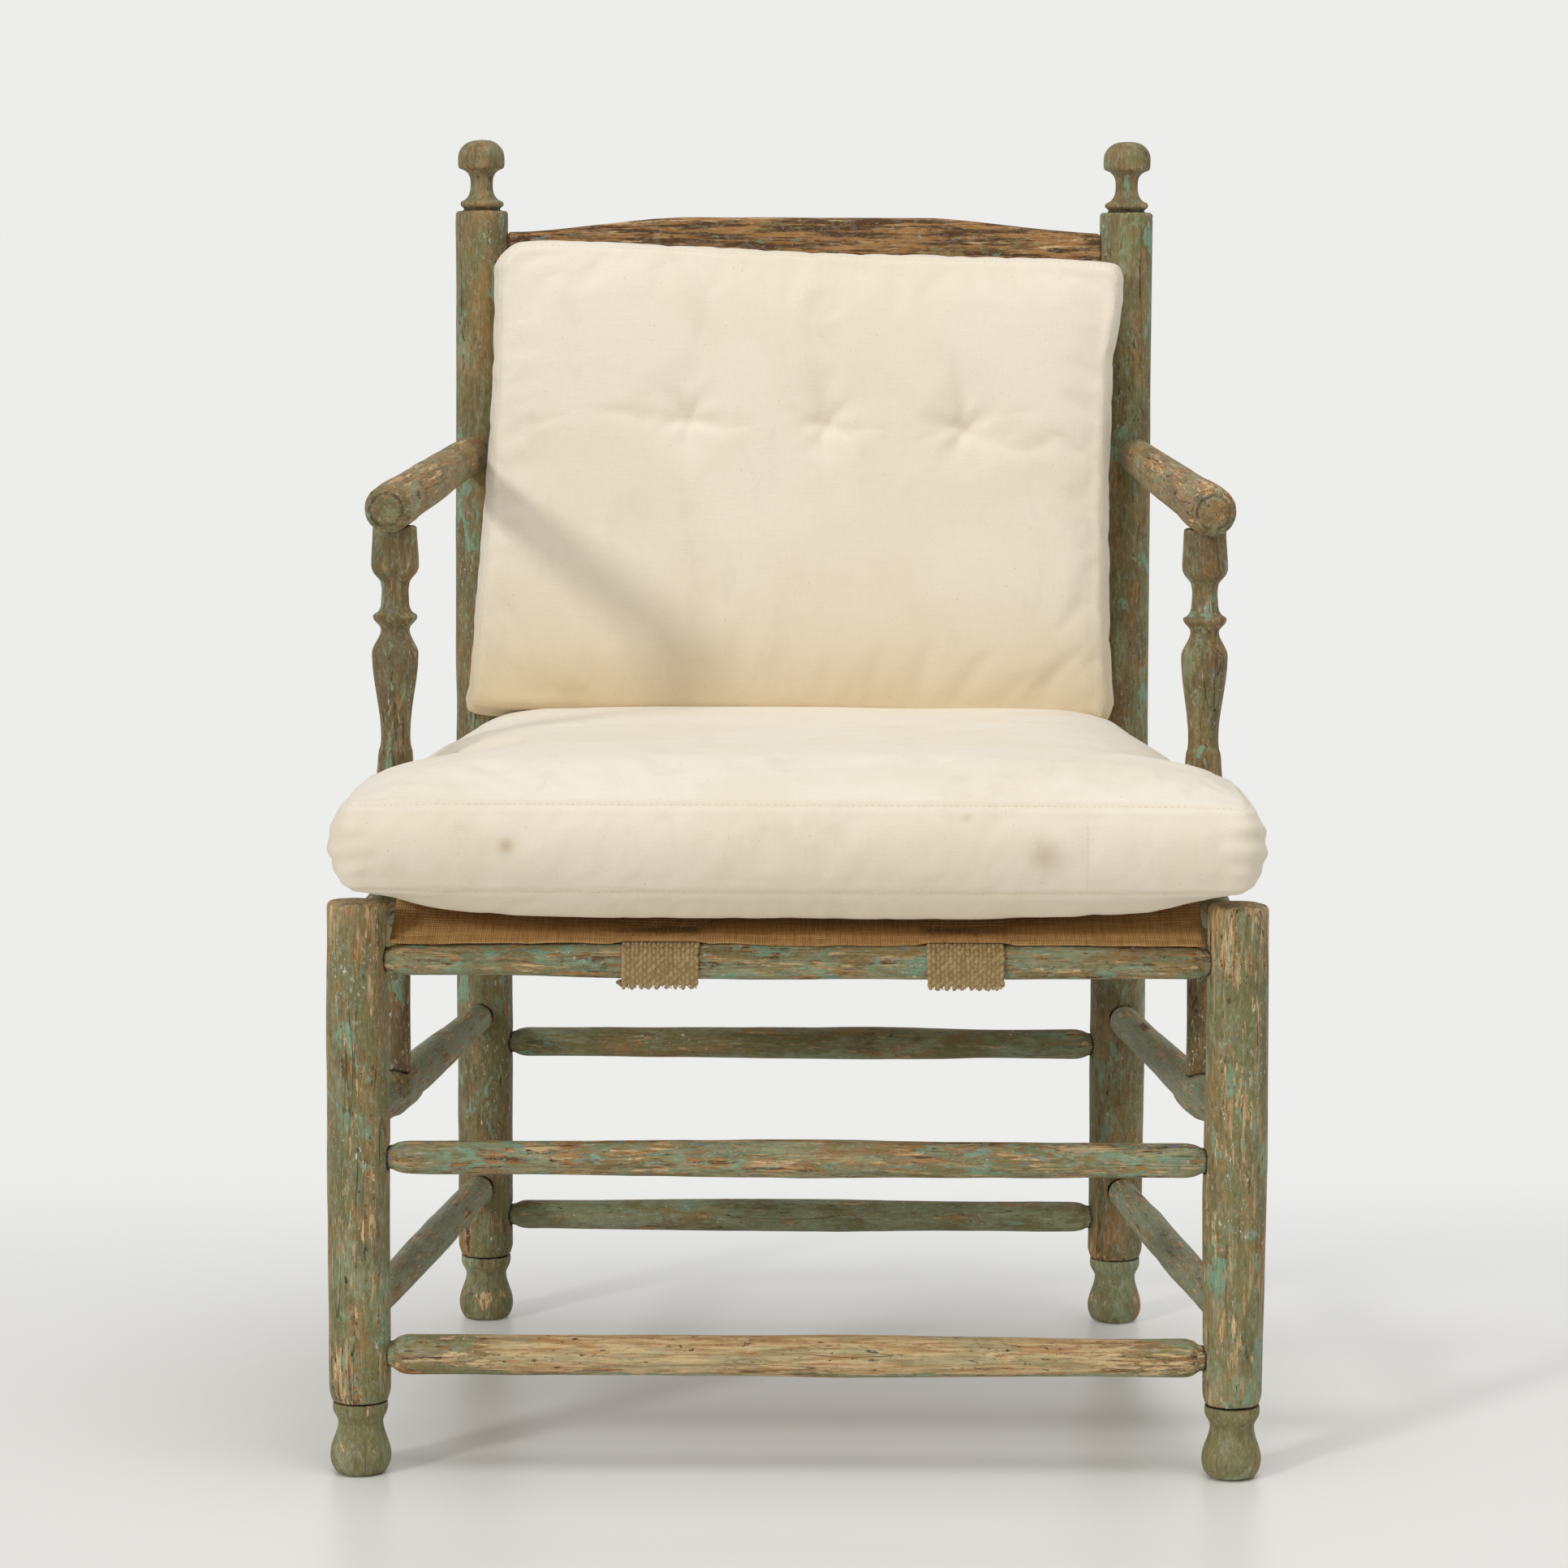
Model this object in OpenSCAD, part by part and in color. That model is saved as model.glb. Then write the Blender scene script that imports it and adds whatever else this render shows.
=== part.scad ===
// Ladder-back armchair: turned posts and rungs, webbed seat, two loose boxed cushions.
// Millimetres. +Z is up, the floor is Z 0, and the sitter faces -Y.

/* [Frame] */
// Distance between the axes of the two front legs
front_span = 634; // [590:1:680]
// Distance between the axes of the two rear posts
rear_span = 524; // [490:1:570]
// Distance from the front leg axes back to the rear post axes
seat_depth = 500; // [470:1:540]
// Height of the front legs, foot included
front_leg_height = 420; // [400:1:450]
// Height of the rear posts up to the shoulder under the finial
post_height = 917; // [895:1:960]
// Widest diameter of a front leg
front_leg_d = 46.4; // [44:0.1:52]
// Widest diameter of a rear post
post_d = 46; // [44:0.1:52]
// How far the legs narrow from their widest part to their top
leg_taper = 3.4; // [1:0.1:5]

/* [Feet and finials] */
// Height of each turned foot
foot_height = 54; // [46:1:58]
// Widest diameter of a foot
foot_d = 44.4; // [40:0.1:50]
// Diameter of the flat sole of a foot
sole_d = 30; // [24:1:34]
// Height of the turned finial above the post's shoulder
finial_height = 57; // [50:1:70]
// Diameter of the finial's cap
finial_d = 37.6; // [32:0.1:42]

/* [Rails and stretchers] */
// From the top of a front leg down to the front seat rail's axis
rail_drop = 42; // [40:1:50]
// How much higher the side rungs stand than the front and rear ones
side_rise = 25; // [22:0.5:29]
// Height of the upper front stretcher's axis
upper_stretcher_z = 233; // [210:1:260]
// Height of the lower front stretcher's axis
lower_stretcher_z = 87.5; // [86:0.5:120]
// Diameter of the seat rails
rail_d = 27; // [24:0.5:30]
// Diameter of the stretchers at their middle
stretcher_d = 27.4; // [24:0.2:30]
// Diameter of the lower front stretcher at its middle
foot_rung_d = 31; // [27:0.5:34]
// How much a rung narrows from its middle to its ends
rung_taper = 3; // [0:0.2:4]
// Diameter of the round tenons
tenon_d = 18; // [15:0.5:19]
// Bare tenon that shows between a rung's end and its leg
tenon_bare = 2.5; // [2:0.5:9]

/* [Arms] */
// Distance from the front leg axes back to the arm supports
support_set_back = 135; // [120:1:150]
// Height of the arm's axis over its support
arm_front_z = 698; // [680:1:720]
// Height of the arm's axis at the rear post
arm_rear_z = 722; // [705:1:740]
// How far the arm support's head leans in over its foot
support_lean_in = 2; // [-3:0.5:6]
// How far outside the rear post's axis the arm enters it
arm_rear_out = 6; // [0:0.5:9]
// Diameter of the arm's turned knob
knob_d = 37.4; // [35:0.2:40]
// Diameter of the arm where it meets the rear post
arm_rear_d = 30; // [26:0.5:31]
// Length of the knob, from its face to its ring groove
knob_length = 75; // [68:1:85]
// How far the knob's face stands in front of the support's axis
knob_reach = 38; // [32:1:44]
// Diameter of the support's plain dowel under the seat
dowel_d = 23; // [20:0.5:24]
// Widest diameter of the support's turned vase and block
vase_d = 35.4; // [32:0.2:37]
// Diameter of the swelling that takes the dowel
boss_d = 34; // [32:0.5:38]

/* [Back] */
// From the rear posts' shoulders down to the crest's top edge at its middle
crest_drop = 4.5; // [1:0.5:17]
// How far the crest's arch stands above its ends
crest_arch = 12; // [4:0.5:18]
// Height of the crest's board at its middle
crest_board = 66; // [58:1:76]
// Height of each slat's board at its middle
slat_board = 54; // [44:1:60]
// Distance from one slat's top edge to the next one's
slat_pitch = 104; // [96:1:110]
// Thickness of the crest and the slats
slat_t = 13; // [10:0.5:16]
// How far the crest and slats are bowed to the rear
slat_bow = 11; // [0:1:14]

/* [Seat] */
// Width of the jute webbing
strap_w = 55; // [45:1:62]
// Thickness of the jute webbing
strap_t = 2.4; // [1.6:0.1:3]
// Sideways place of the left strap that runs front to back
strap_left_x = -98; // [-115:1:-70]
// Sideways place of the right strap that runs front to back
strap_right_x = 121; // [80:1:130]
// How far the side to side straps sag at their middle
web_sag = 8; // [2:0.5:12]
// Thickness of the hessian cover
hessian_t = 1.4; // [1:0.1:2]

/* [Cushions] */
// How far the seat cushion stands in front of the front leg axes
cushion_overhang = 62; // [50:1:75]
// How far the seat cushion's front corners reach past the front leg axes
cushion_side = 17; // [5:1:24]
// Height of the seat cushion's boxing between its two seams
seat_boxing = 64; // [54:1:76]
// How far the seat cushion's top is crowned above its seam
seat_crown = 24; // [12:1:30]
// How far the seat cushion's bottom hangs below its seam
seat_belly = 28; // [12:1:34]
// How far the cushions' boxing bulges between its seams
boxing_bulge = 12; // [4:1:16]
// Gap between the back cushion and the arms beside it
back_side_gap = 8; // [2:0.5:24]
// From the rear posts' shoulders down to the top edge of the back cushion
back_top_drop = 30; // [24:1:60]
// Thickness of the back cushion at its seams
back_cushion_t = 70; // [60:1:80]
// How far each face of the back cushion is crowned
back_crown = 11; // [4:1:14]
// Depth of the three sewn tufts in the back cushion's front
tuft_depth = 5; // [1:0.5:8]
// Lean of the back cushion, degrees
back_lean = 8; // [5:0.5:10]
// Sideways turn of the back cushion as it stands, degrees
back_turn = 2; // [0:0.1:2.6]
// How much narrower the back cushion is at its top than at its bottom
back_taper = 24; // [0:1:30]

/* [Hidden] */
$fn = 64;
curve_steps = 7;          // straight facets in one turned curve
fit = 0.1;                // gap all round a tenon in its bore
bore_end = 0.5;           // gap past the end of a tenon
touch = 0.3;              // gap between soft pieces and what carries them
edge_gap = 4;             // gap between webbing or cover and the wood beside it
tenon_past = 6;           // how far a tenon runs past its leg's axis
end_round = 12;           // length of a rung's rounded end
seat_gap = 0.05;          // gap where a flat shoulder is seated

tenon_r = tenon_d / 2;
leg_r = front_leg_d / 2;
post_r = post_d / 2;
rail_r = rail_d / 2;
knob_r = knob_d / 2;
boss_r = boss_d / 2;
dowel_r = dowel_d / 2;

// The chair's depth is centred on Y 0, from the cushion's front to the posts' backs.
chair_depth = cushion_overhang + seat_depth + post_r;
front_y = cushion_overhang - chair_depth / 2;
rear_y = front_y + seat_depth;
support_y = front_y + support_set_back;
splay = (front_span - rear_span) / 2 / seat_depth;
crest_peak_z = post_height - crest_drop;

// Axis heights of the rungs
front_rail_z = front_leg_height - rail_drop;
side_rail_z = front_rail_z + side_rise;
upper_side_z = upper_stretcher_z + side_rise;
lower_side_z = lower_stretcher_z + side_rise + 1.5;

function side_x(y) = front_span / 2 - splay * (y - front_y);
arm_front_x = side_x(support_y) - support_lean_in;
arm_rear_x = rear_span / 2 + arm_rear_out;
function arm_x(y) = arm_rear_x
    + (arm_front_x - arm_rear_x) * (rear_y - y) / (rear_y - support_y);
function front_axis(side, z) = [side * front_span / 2, front_y, z];
function post_axis(side, z) = [side * rear_span / 2, rear_y, z];

// The arm's axis runs from the rear post over the support's top.
function support_foot(side) = [side * side_x(support_y), support_y, upper_side_z];
function support_head(side) = [side * arm_front_x, support_y, arm_front_z];
function arm_root(side) = [side * arm_rear_x, rear_y, arm_rear_z];
function unit(v) = v / norm(v);
function arm_tip(side) = support_head(side)
    + unit(support_head(side) - arm_root(side)) * knob_reach;

// Turned work
// A station is [height, radius, kind], and kind says how the curve runs on to the next one.
LINE = 0;    // straight
SWELL = 1;   // an S curve, level at both ends
ROUND = 2;   // a quarter round that starts square to the axis
COVE = 3;    // a quarter round that starts along the axis

function eased(kind, t) =
    kind == SWELL ? [t * t * (3 - 2 * t), t] :
    kind == ROUND ? [sin(90 * t), 1 - cos(90 * t)] :
    kind == COVE ? [1 - cos(90 * t), sin(90 * t)] : [t, t];

function turned_span(a, b) =
    let (steps = a[2] == LINE ? 1 : curve_steps)
    [for (i = [0 : steps - 1]) let (e = eased(a[2], i / steps))
        [a[1] + (b[1] - a[1]) * e[0], a[0] + (b[0] - a[0]) * e[1]]];

function turned_outline(stations) = concat(
    [[0, stations[0][0]]],
    [for (i = [0 : len(stations) - 2]) each turned_span(stations[i], stations[i + 1])],
    [[stations[len(stations) - 1][1], stations[len(stations) - 1][0]],
     [0, stations[len(stations) - 1][0]]]);

module turned(stations) {
    rotate_extrude() polygon(turned_outline(stations));
}

// Puts children that stand on +Z along the line from a to b.
module along(a, b) {
    d = b - a;
    flat = norm([d[0], d[1]]);
    translate(a) rotate([0, atan2(flat, d[2]), atan2(d[1], d[0])]) children();
}

// Round mortise and tenon
module mortise(a, b, r = tenon_r) {
    along(a, b) translate([0, 0, -tenon_past - bore_end])
        cylinder(r = r + fit, h = tenon_past + bore_end + 2 * leg_r);
}

// A rung from one leg axis to another, with a tenon at each end.
module rung(a, b, middle_r, shoulder_a, shoulder_b) {
    length = norm(b - a);
    end_r = middle_r - rung_taper / 2;
    along(a, b) turned([
        [-tenon_past, tenon_r, LINE],
        [shoulder_a, tenon_r, ROUND],
        [shoulder_a + end_round, end_r, SWELL],
        [length / 2, middle_r, SWELL],
        [length - shoulder_b - end_round, end_r, COVE],
        [length - shoulder_b, tenon_r, LINE],
        [length + tenon_past, tenon_r, LINE]]);
}

front_shoulder = leg_r + tenon_bare;
rear_shoulder = post_r + tenon_bare;

// Rung end points
function front_rung(z) = [front_axis(-1, z), front_axis(1, z)];
function rear_rung(z) = [post_axis(-1, z), post_axis(1, z)];
function side_rung(side, z) = [front_axis(side, z), post_axis(side, z)];

// Feet, legs and posts
foot_neck_r = foot_d * 0.37;
foot_collar_r = foot_d * 0.46;
foot_tenon_r = 8;
foot_tenon_h = 16;
leg_chamfer = 7.5;
top_round = 3.5;
shoulder_round = 2;           // rounding of the post's shoulder
line_cut = 0.7;               // depth of the line cut round the post under its shoulder
line_z = post_height - 4.8;

module foot(axis) {
    color("darkolivegreen") translate([axis[0], axis[1], 0]) turned([
        [0, sole_d / 2, ROUND],
        [14, foot_d / 2, SWELL],
        [foot_height - 16, foot_neck_r, SWELL],
        [foot_height - 6, foot_collar_r, LINE],
        [foot_height - fit, foot_collar_r, LINE],
        [foot_height - fit, foot_tenon_r, LINE],
        [foot_height + foot_tenon_h, foot_tenon_r, LINE]]);
}

module foot_bore() {
    translate([0, 0, foot_height - 1])
        cylinder(r = foot_tenon_r + fit, h = foot_tenon_h + bore_end + 1);
}

module front_leg(side) {
    rungs = [front_rail_z, upper_stretcher_z, lower_stretcher_z];
    side_rungs = [side_rail_z, upper_side_z, lower_side_z];
    end_r = leg_r - 1.2;
    color("olivedrab") difference() {
        translate(front_axis(side, 0)) turned([
            [foot_height, foot_collar_r - 0.4, LINE],
            [foot_height + leg_chamfer, end_r, SWELL],
            [front_leg_height * 0.55, leg_r, SWELL],
            [front_leg_height - top_round, leg_r - leg_taper / 2, COVE],
            [front_leg_height, leg_r - leg_taper / 2 - top_round, LINE]]);
        translate(front_axis(side, 0)) foot_bore();
        for (z = rungs) mortise(front_axis(side, z), front_axis(-side, z));
        for (z = side_rungs) mortise(front_axis(side, z), post_axis(side, z));
    }
}

// The finial is turned from the same stick as the post. Its stations are shares of its
// height and of its cap's radius.
FINIAL = [
    [0, 0.73, LINE],
    [0.06, 0.73, LINE],
    [0.072, 0.91, LINE],
    [0.086, 0.94, LINE],
    [0.124, 0.94, LINE],
    [0.136, 0.90, ROUND],
    [0.34, 0.474, SWELL],
    [0.43, 0.474, COVE],
    [0.60, 0.95, LINE],
    [0.62, 1, LINE],
    [0.76, 1, COVE],
    [1, 0.20, LINE]];
function finial(z) = [for (p = FINIAL)
    [z + finial_height * p[0], finial_d / 2 * p[1], p[2]]];

module rear_post(side) {
    shoulder_r = post_r - leg_taper / 2;
    rungs = [front_rail_z, upper_stretcher_z, lower_stretcher_z];
    side_rungs = [side_rail_z, upper_side_z, lower_side_z];
    color("olivedrab") difference() {
        translate(post_axis(side, 0)) turned(concat([
            [foot_height, foot_collar_r - 0.4, LINE],
            [foot_height + leg_chamfer, post_r - 0.7, SWELL],
            [post_height * 0.35, post_r, SWELL],
            [line_z - line_cut, shoulder_r, LINE],
            [line_z, shoulder_r - line_cut, LINE],
            [line_z + line_cut, shoulder_r, LINE],
            [post_height - shoulder_round, shoulder_r, COVE],
            [post_height, shoulder_r - shoulder_round, LINE]], finial(post_height)));
        translate(post_axis(side, 0)) foot_bore();
        for (z = rungs) mortise(post_axis(side, z), post_axis(-side, z));
        for (z = side_rungs) mortise(post_axis(side, z), front_axis(side, z));
        mortise(arm_root(side), support_head(side), arm_tenon_r);
        for (board = BOARDS) board_mortise(side, board);
        crest_peg(side, fit);
    }
}

// Seat rails and stretchers
module cross_rung(ends, middle_d, shoulder) {
    color("darkseagreen") rung(ends[0], ends[1], middle_d / 2, shoulder, shoulder);
}

// The front and rear seat rails hold the long straps' tacks.
module cross_seat_rail(ends, shoulder) {
    color("darkseagreen") difference() {
        cross_rung(ends, rail_d, shoulder);
        long_tacks(tack_r + fit);
    }
}

// Where the support's axis crosses a side rung, counted along the rung
function boss_place(ends) = norm(ends[1] - ends[0]) * support_set_back / seat_depth;

boss_half = boss_r + 14;

// A side rung with a boss for the arm support's dowel. Its body can swell beside the boss.
module bossed_rung(ends, body_r, swell) {
    length = norm(ends[1] - ends[0]);
    boss = boss_place(ends);
    half = boss_half;
    end_r = body_r - rung_taper / 2;
    along(ends[0], ends[1]) turned([
        [-tenon_past, tenon_r, LINE],
        [front_shoulder, tenon_r, ROUND],
        [front_shoulder + end_round, end_r, SWELL],
        [boss - half, body_r + swell / 2, COVE],
        [boss - half + 8, boss_r, LINE],
        [boss + half - 4, boss_r, ROUND],
        [boss + half, body_r + swell / 2, LINE],
        [boss + half + 3, body_r + swell, SWELL],
        [length - rear_shoulder - end_round, end_r, COVE],
        [length - rear_shoulder, tenon_r, LINE],
        [length + tenon_past, tenon_r, LINE]]);
}

seat_cut = 3;                 // depth of the flat that a shoulder stands on
support_base_r = vase_d / 2;
support_shoulder_z = side_rail_z + boss_r - seat_cut;
dowel_end_z = upper_side_z + boss_r - seat_cut;
support_tenon_r = 8;
support_tenon_h = 18;

// The space that the arm support's foot, dowel and shoulder take in the side rungs
module support_bores(side) {
    a = support_foot(side);
    b = support_head(side);
    reach = b[2] - a[2];
    along(a, b) {
        translate([0, 0, dowel_end_z - a[2] - support_tenon_h - bore_end])
            cylinder(r = support_tenon_r + fit, h = support_tenon_h + bore_end + 1);
        translate([0, 0, dowel_end_z - a[2]]) cylinder(r = dowel_r + fit, h = reach);
        translate([0, 0, support_shoulder_z - a[2]])
            cylinder(r = support_base_r + fit, h = reach);
    }
}

module side_seat_rail(side) {
    color("darkseagreen") difference() {
        bossed_rung(side_rung(side, side_rail_z), rail_r, 0);
        support_bores(side);
        for (n = [1 : 3]) cross_tacks(n, tack_r + fit);
    }
}

module side_stretcher_upper(side) {
    color("darkseagreen") difference() {
        bossed_rung(side_rung(side, upper_side_z), stretcher_d / 2, 1.2);
        support_bores(side);
    }
}

module side_stretcher_lower(side) {
    ends = side_rung(side, lower_side_z);
    color("darkseagreen")
        rung(ends[0], ends[1], stretcher_d / 2, front_shoulder, rear_shoulder);
}

// Arms and their supports
arm_tenon_r = 10;
head_tenon_h = 20;
head_seat = 3;                // depth of the flat under the knob
head_tenon_r = 8;
block_top = -knob_r + head_seat - seat_gap;

// The support over the side rail, as shares of its height there and of its widest radius
SUPPORT = [
    [0.023, 1, SWELL],
    [0.189, 0.966, SWELL],
    [0.359, 0.757, LINE],
    [0.3635, 0.712, LINE],
    [0.368, 0.757, ROUND],
    [0.408, 0.633, SWELL],
    [0.642, 0.989, SWELL],
    [0.710, 0.605, LINE],
    [0.717, 0.633, LINE],
    [0.738, 0.915, LINE],
    [0.745, 0.949, LINE],
    [0.752, 0.915, ROUND],
    [0.785, 0.588, SWELL],
    [0.819, 0.565, SWELL],
    [0.845, 0.610, LINE],
    [0.868, 0.904, LINE],
    [0.883, 1, SWELL],
    [1, 0.915, LINE]];

module arm_support(side) {
    a = support_foot(side);
    b = support_head(side);
    top = norm(b - a) + block_top;
    foot_z = dowel_end_z - a[2] + seat_gap;
    shoulder_z = support_shoulder_z - a[2] + seat_gap;
    color("seagreen") along(a, b) turned(concat([
        [foot_z - support_tenon_h, support_tenon_r, LINE],
        [foot_z, support_tenon_r, LINE],
        [foot_z, dowel_r - 0.2, LINE],
        [shoulder_z, dowel_r, LINE],
        [shoulder_z, support_base_r * 0.88, LINE]],
        [for (p = SUPPORT) [shoulder_z + (top - shoulder_z) * p[0], support_base_r * p[1], p[2]]],
        [[top, head_tenon_r, LINE],
         [top + head_tenon_h, head_tenon_r, LINE]]));
}

module arm(side) {
    a = arm_tip(side);
    b = arm_root(side);
    length = norm(b - a);
    foot = support_foot(side);
    head = support_head(side);
    top = norm(head - foot) + block_top;
    face_r = 11;
    rim_r = 14.4;
    rear_r = arm_rear_d / 2;
    color("darkseagreen") difference() {
        along(a, b) turned([
            [0, face_r - 1.5, ROUND],
            [1, face_r, LINE],
            [2.6, face_r + 0.4, LINE],
            [2.6, rim_r - 1, LINE],
            [0.8, rim_r, COVE],
            [7, knob_r - 0.4, SWELL],
            [knob_length / 2, knob_r, SWELL],
            [knob_length - 3, knob_r - 0.6, ROUND],
            [knob_length, knob_r - 2.6, LINE],
            [knob_length + 4, knob_r - 1.2, LINE],
            [length - post_r - 7, rear_r, COVE],
            [length - post_r - seat_gap, arm_tenon_r, LINE],
            [length + tenon_past, arm_tenon_r, LINE]]);
        along(foot, head) {
            translate([0, 0, top - knob_r]) cylinder(r = vase_d / 2 + fit, h = knob_r + seat_gap);
            cylinder(r = head_tenon_r + fit, h = top + head_tenon_h + bore_end);
        }
    }
}

// Crest and slats
// A board is [top edge height at the middle, board height, arch].
crest_board_row = [crest_peak_z, crest_board, crest_arch];
slat_arch = crest_arch * 0.75;
function slat_row(n) = [crest_peak_z - crest_arch / 2 - n * slat_pitch, slat_board, slat_arch];
BOARDS = [crest_board_row, slat_row(1), slat_row(2), slat_row(3)];
board_half = rear_span / 2 - post_r + 1.5;   // the board's shoulders stand in the posts' rounds
board_tenon = 16;                            // how far the board's ends run into the posts
board_tenon_t = 9;
end_share = 0.78;                            // a board's height at its ends, as a share

// The arch's outline: level ends, an S curve each way and a level middle
function arch(u) = let (t = min(1, max(0, (1 - abs(u)) / 0.62))) t * t * (3 - 2 * t);
function board_end(board) = board[1] * end_share;
function board_edge(board) = [for (i = [-14 : 14]) let (u = i / 14)
    [u * board_half, board[0] - board[2] * (1 - arch(u))]];
function board_foot(board) = let (lift = board[1] - board[2] - board_end(board))
    [for (i = [14 : -1 : -14]) let (u = i / 14)
        [u * board_half, board[0] - board[1] + lift * (1 - arch(u))]];
function board_end_top(board) = board[0] - board[2];

bow_radius = slat_bow > 0 ? (board_half * board_half + slat_bow * slat_bow) / 2 / slat_bow : 0;
function bow_y(x) =
    slat_bow > 0 ? sqrt(bow_radius * bow_radius - x * x) - bow_radius + slat_bow : 0;
function bow_edge(from, to, offset) = [for (i = [0 : 24]) let (x = from + (to - from) * i / 24)
    [x, bow_y(x) + offset]];
board_y = rear_y;            // the boards' ends stand on the posts' axes

module board(row) {
    color("sienna") {
        intersection() {
            translate([0, board_y + 60, 0]) rotate([90, 0, 0]) linear_extrude(height = 120)
                polygon(concat(board_edge(row), board_foot(row)));
            translate([0, board_y, row[0] - row[1] - 1]) linear_extrude(height = row[1] + 2)
                polygon(concat(bow_edge(-board_half, board_half, -slat_t / 2),
                               bow_edge(board_half, -board_half, slat_t / 2)));
        }
        for (side = [-1, 1]) difference() {
            board_tenon_block(side, row, 0, 0);
            if (row == crest_board_row) crest_peg(side, fit);
        }
    }
}

module board_tenon_block(side, row, gap, past) {
    tenon_h = board_end(row) - 8;
    low = min(side * (board_half - 4), side * (board_half + board_tenon + past));
    translate([low, board_y - board_tenon_t / 2 - gap, board_end_top(row) - 4 - tenon_h - gap])
        cube([board_tenon + 4 + past, board_tenon_t + 2 * gap, tenon_h + 2 * gap]);
}

// The mortise takes the tenon and the board's shoulders.
module board_mortise(side, row) {
    board_tenon_block(side, row, fit, bore_end);
    h = board_end(row) + 2 * fit;
    low = min(side * (board_half - 12), side * (board_half + fit));
    translate([low, board_y - slat_t / 2 - 0.6, board_end_top(row) - h + fit])
        cube([12 + fit, slat_t + 2.4, h]);
}

// Pegs are driven from behind, through the post and the crest's tenon.
peg_r = 3.5;
module crest_peg(side, gap) {
    z = board_end_top(crest_board_row) - 20;
    translate([side * (board_half + board_tenon / 2), rear_y - 12 - gap, z])
        rotate([-90, 0, 0]) cylinder(r = peg_r + gap, h = post_r + 12);
}

module crest_pegs() {
    color("saddlebrown") for (side = [-1, 1]) intersection() {
        crest_peg(side, 0);
        translate(post_axis(side, 0)) cylinder(r = post_r - leg_taper / 2 + 0.4, h = post_height);
    }
}

// Webbing
// A strap's section along its run: it wraps one rail, crosses and wraps the other.
strap_gap = 0.25;
wrap_r = rail_r + strap_gap;
wrap_steps = 14;
long_wrap = 200;            // degrees of the front and rear rails that a strap covers
cross_wrap = 190;           // degrees of a side rail that a strap covers
seat_climb = 70;            // how far behind the front rail the seat reaches its level
seat_rows = 40;             // rows of points along the seat's depth

function smooth(t) = let (c = min(1, max(0, t))) c * c * (3 - 2 * c);
// 0 over the front and rear rails, 1 where the side to side straps carry the seat
function seat_level(y) = smooth((y - front_y) / seat_climb) * smooth((rear_y - y) / seat_climb);
function sag(x, y) = web_sag * (1 - pow(x / side_x(y), 2));

function wrap_points(cx, cz, r, from, to) = [for (i = [0 : wrap_steps])
    let (a = from + (to - from) * i / wrap_steps) [cx + r * cos(a), cz + r * sin(a)]];

// A long strap climbs from the front rail to the underside of the side to side straps.
function long_climb(x) = let (near = max(0, abs(x) - strap_w / 2))
    side_rail_z - front_rail_z - strap_t - strap_gap - sag(near, front_y);
function long_run(x, z) = [for (j = [1 : seat_rows - 1])
    let (y = front_y + seat_depth * j / seat_rows) [y, z + long_climb(x) * seat_level(y)]];
function backwards(list) = [for (i = [len(list) - 1 : -1 : 0]) list[i]];
function long_outline(x) = let (z = front_rail_z, outer = wrap_r + strap_t) concat(
    wrap_points(front_y, z, outer, 90 + long_wrap, 90),
    long_run(x, z + outer),
    wrap_points(rear_y, z, outer, 90, 90 - long_wrap),
    wrap_points(rear_y, z, wrap_r, 90 - long_wrap, 90),
    backwards(long_run(x, z + wrap_r)),
    wrap_points(front_y, z, wrap_r, 90, 90 + long_wrap));

module web_strap_long(x) {
    color("peru") difference() {
        translate([x - strap_w / 2, 0, 0]) rotate([90, 0, 90])
            linear_extrude(height = strap_w) polygon(long_outline(x));
        long_tacks(tack_r + fit);
    }
}

// A side to side strap lies over the long straps. Its two edges have their own spans,
// because the side rails run together towards the back.
cross_first_y = support_y + boss_half + strap_w / 2 + edge_gap * 2;
cross_last_y = rear_y - seat_climb - strap_w / 2 - edge_gap;
function cross_y(n) = cross_first_y + (cross_last_y - cross_first_y) * (n - 1) / 2;
cross_steps = 20;
function cross_run(x, y, z) = [for (i = [1 : cross_steps - 1])
    let (at = x * (2 * i / cross_steps - 1)) [at, y, z - sag(at, y)]];
function wrap_at(x, y, r, from, to) =
    [for (p = wrap_points(x, side_rail_z, r, from, to)) [p[0], y, p[1]]];
function cross_section(y) = let (x = side_x(y), outer = wrap_r + strap_t) concat(
    wrap_at(-x, y, outer, 90 + cross_wrap, 90),
    cross_run(x, y, side_rail_z + outer),
    wrap_at(x, y, outer, 90, 90 - cross_wrap),
    wrap_at(x, y, wrap_r, 90 - cross_wrap, 90),
    backwards(cross_run(x, y, side_rail_z + wrap_r)),
    wrap_at(-x, y, wrap_r, 90, 90 + cross_wrap));

// A strip between two like outlines, closed by a ladder of triangles on each edge face
module ruled_strip(front, back) {
    n = len(front);
    half = n / 2;
    sides = [for (i = [0 : n - 1]) let (j = (i + 1) % n) each [[i, n + j, j], [i, n + i, n + j]]];
    edge = [for (i = [0 : half - 2]) let (k = n - 1 - i) each [[i, k - 1, k], [i, i + 1, k - 1]]];
    back_edge = [for (t = edge) [n + t[0], n + t[2], n + t[1]]];
    polyhedron(points = concat(front, back), faces = concat(sides, edge, back_edge), convexity = 6);
}

module web_strap_cross(n) {
    y = cross_y(n);
    color("peru") difference() {
        ruled_strip(cross_section(y - strap_w / 2), cross_section(y + strap_w / 2));
        cross_tacks(n, tack_r + fit);
    }
}

// Hessian cover
cover_low = front_rail_z + wrap_r + strap_t + touch;
cover_high = side_rail_z + wrap_r + strap_t + touch;
function cover_z(x, y) = cover_low + (cover_high - cover_low - sag(x, y)) * seat_level(y);

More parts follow.
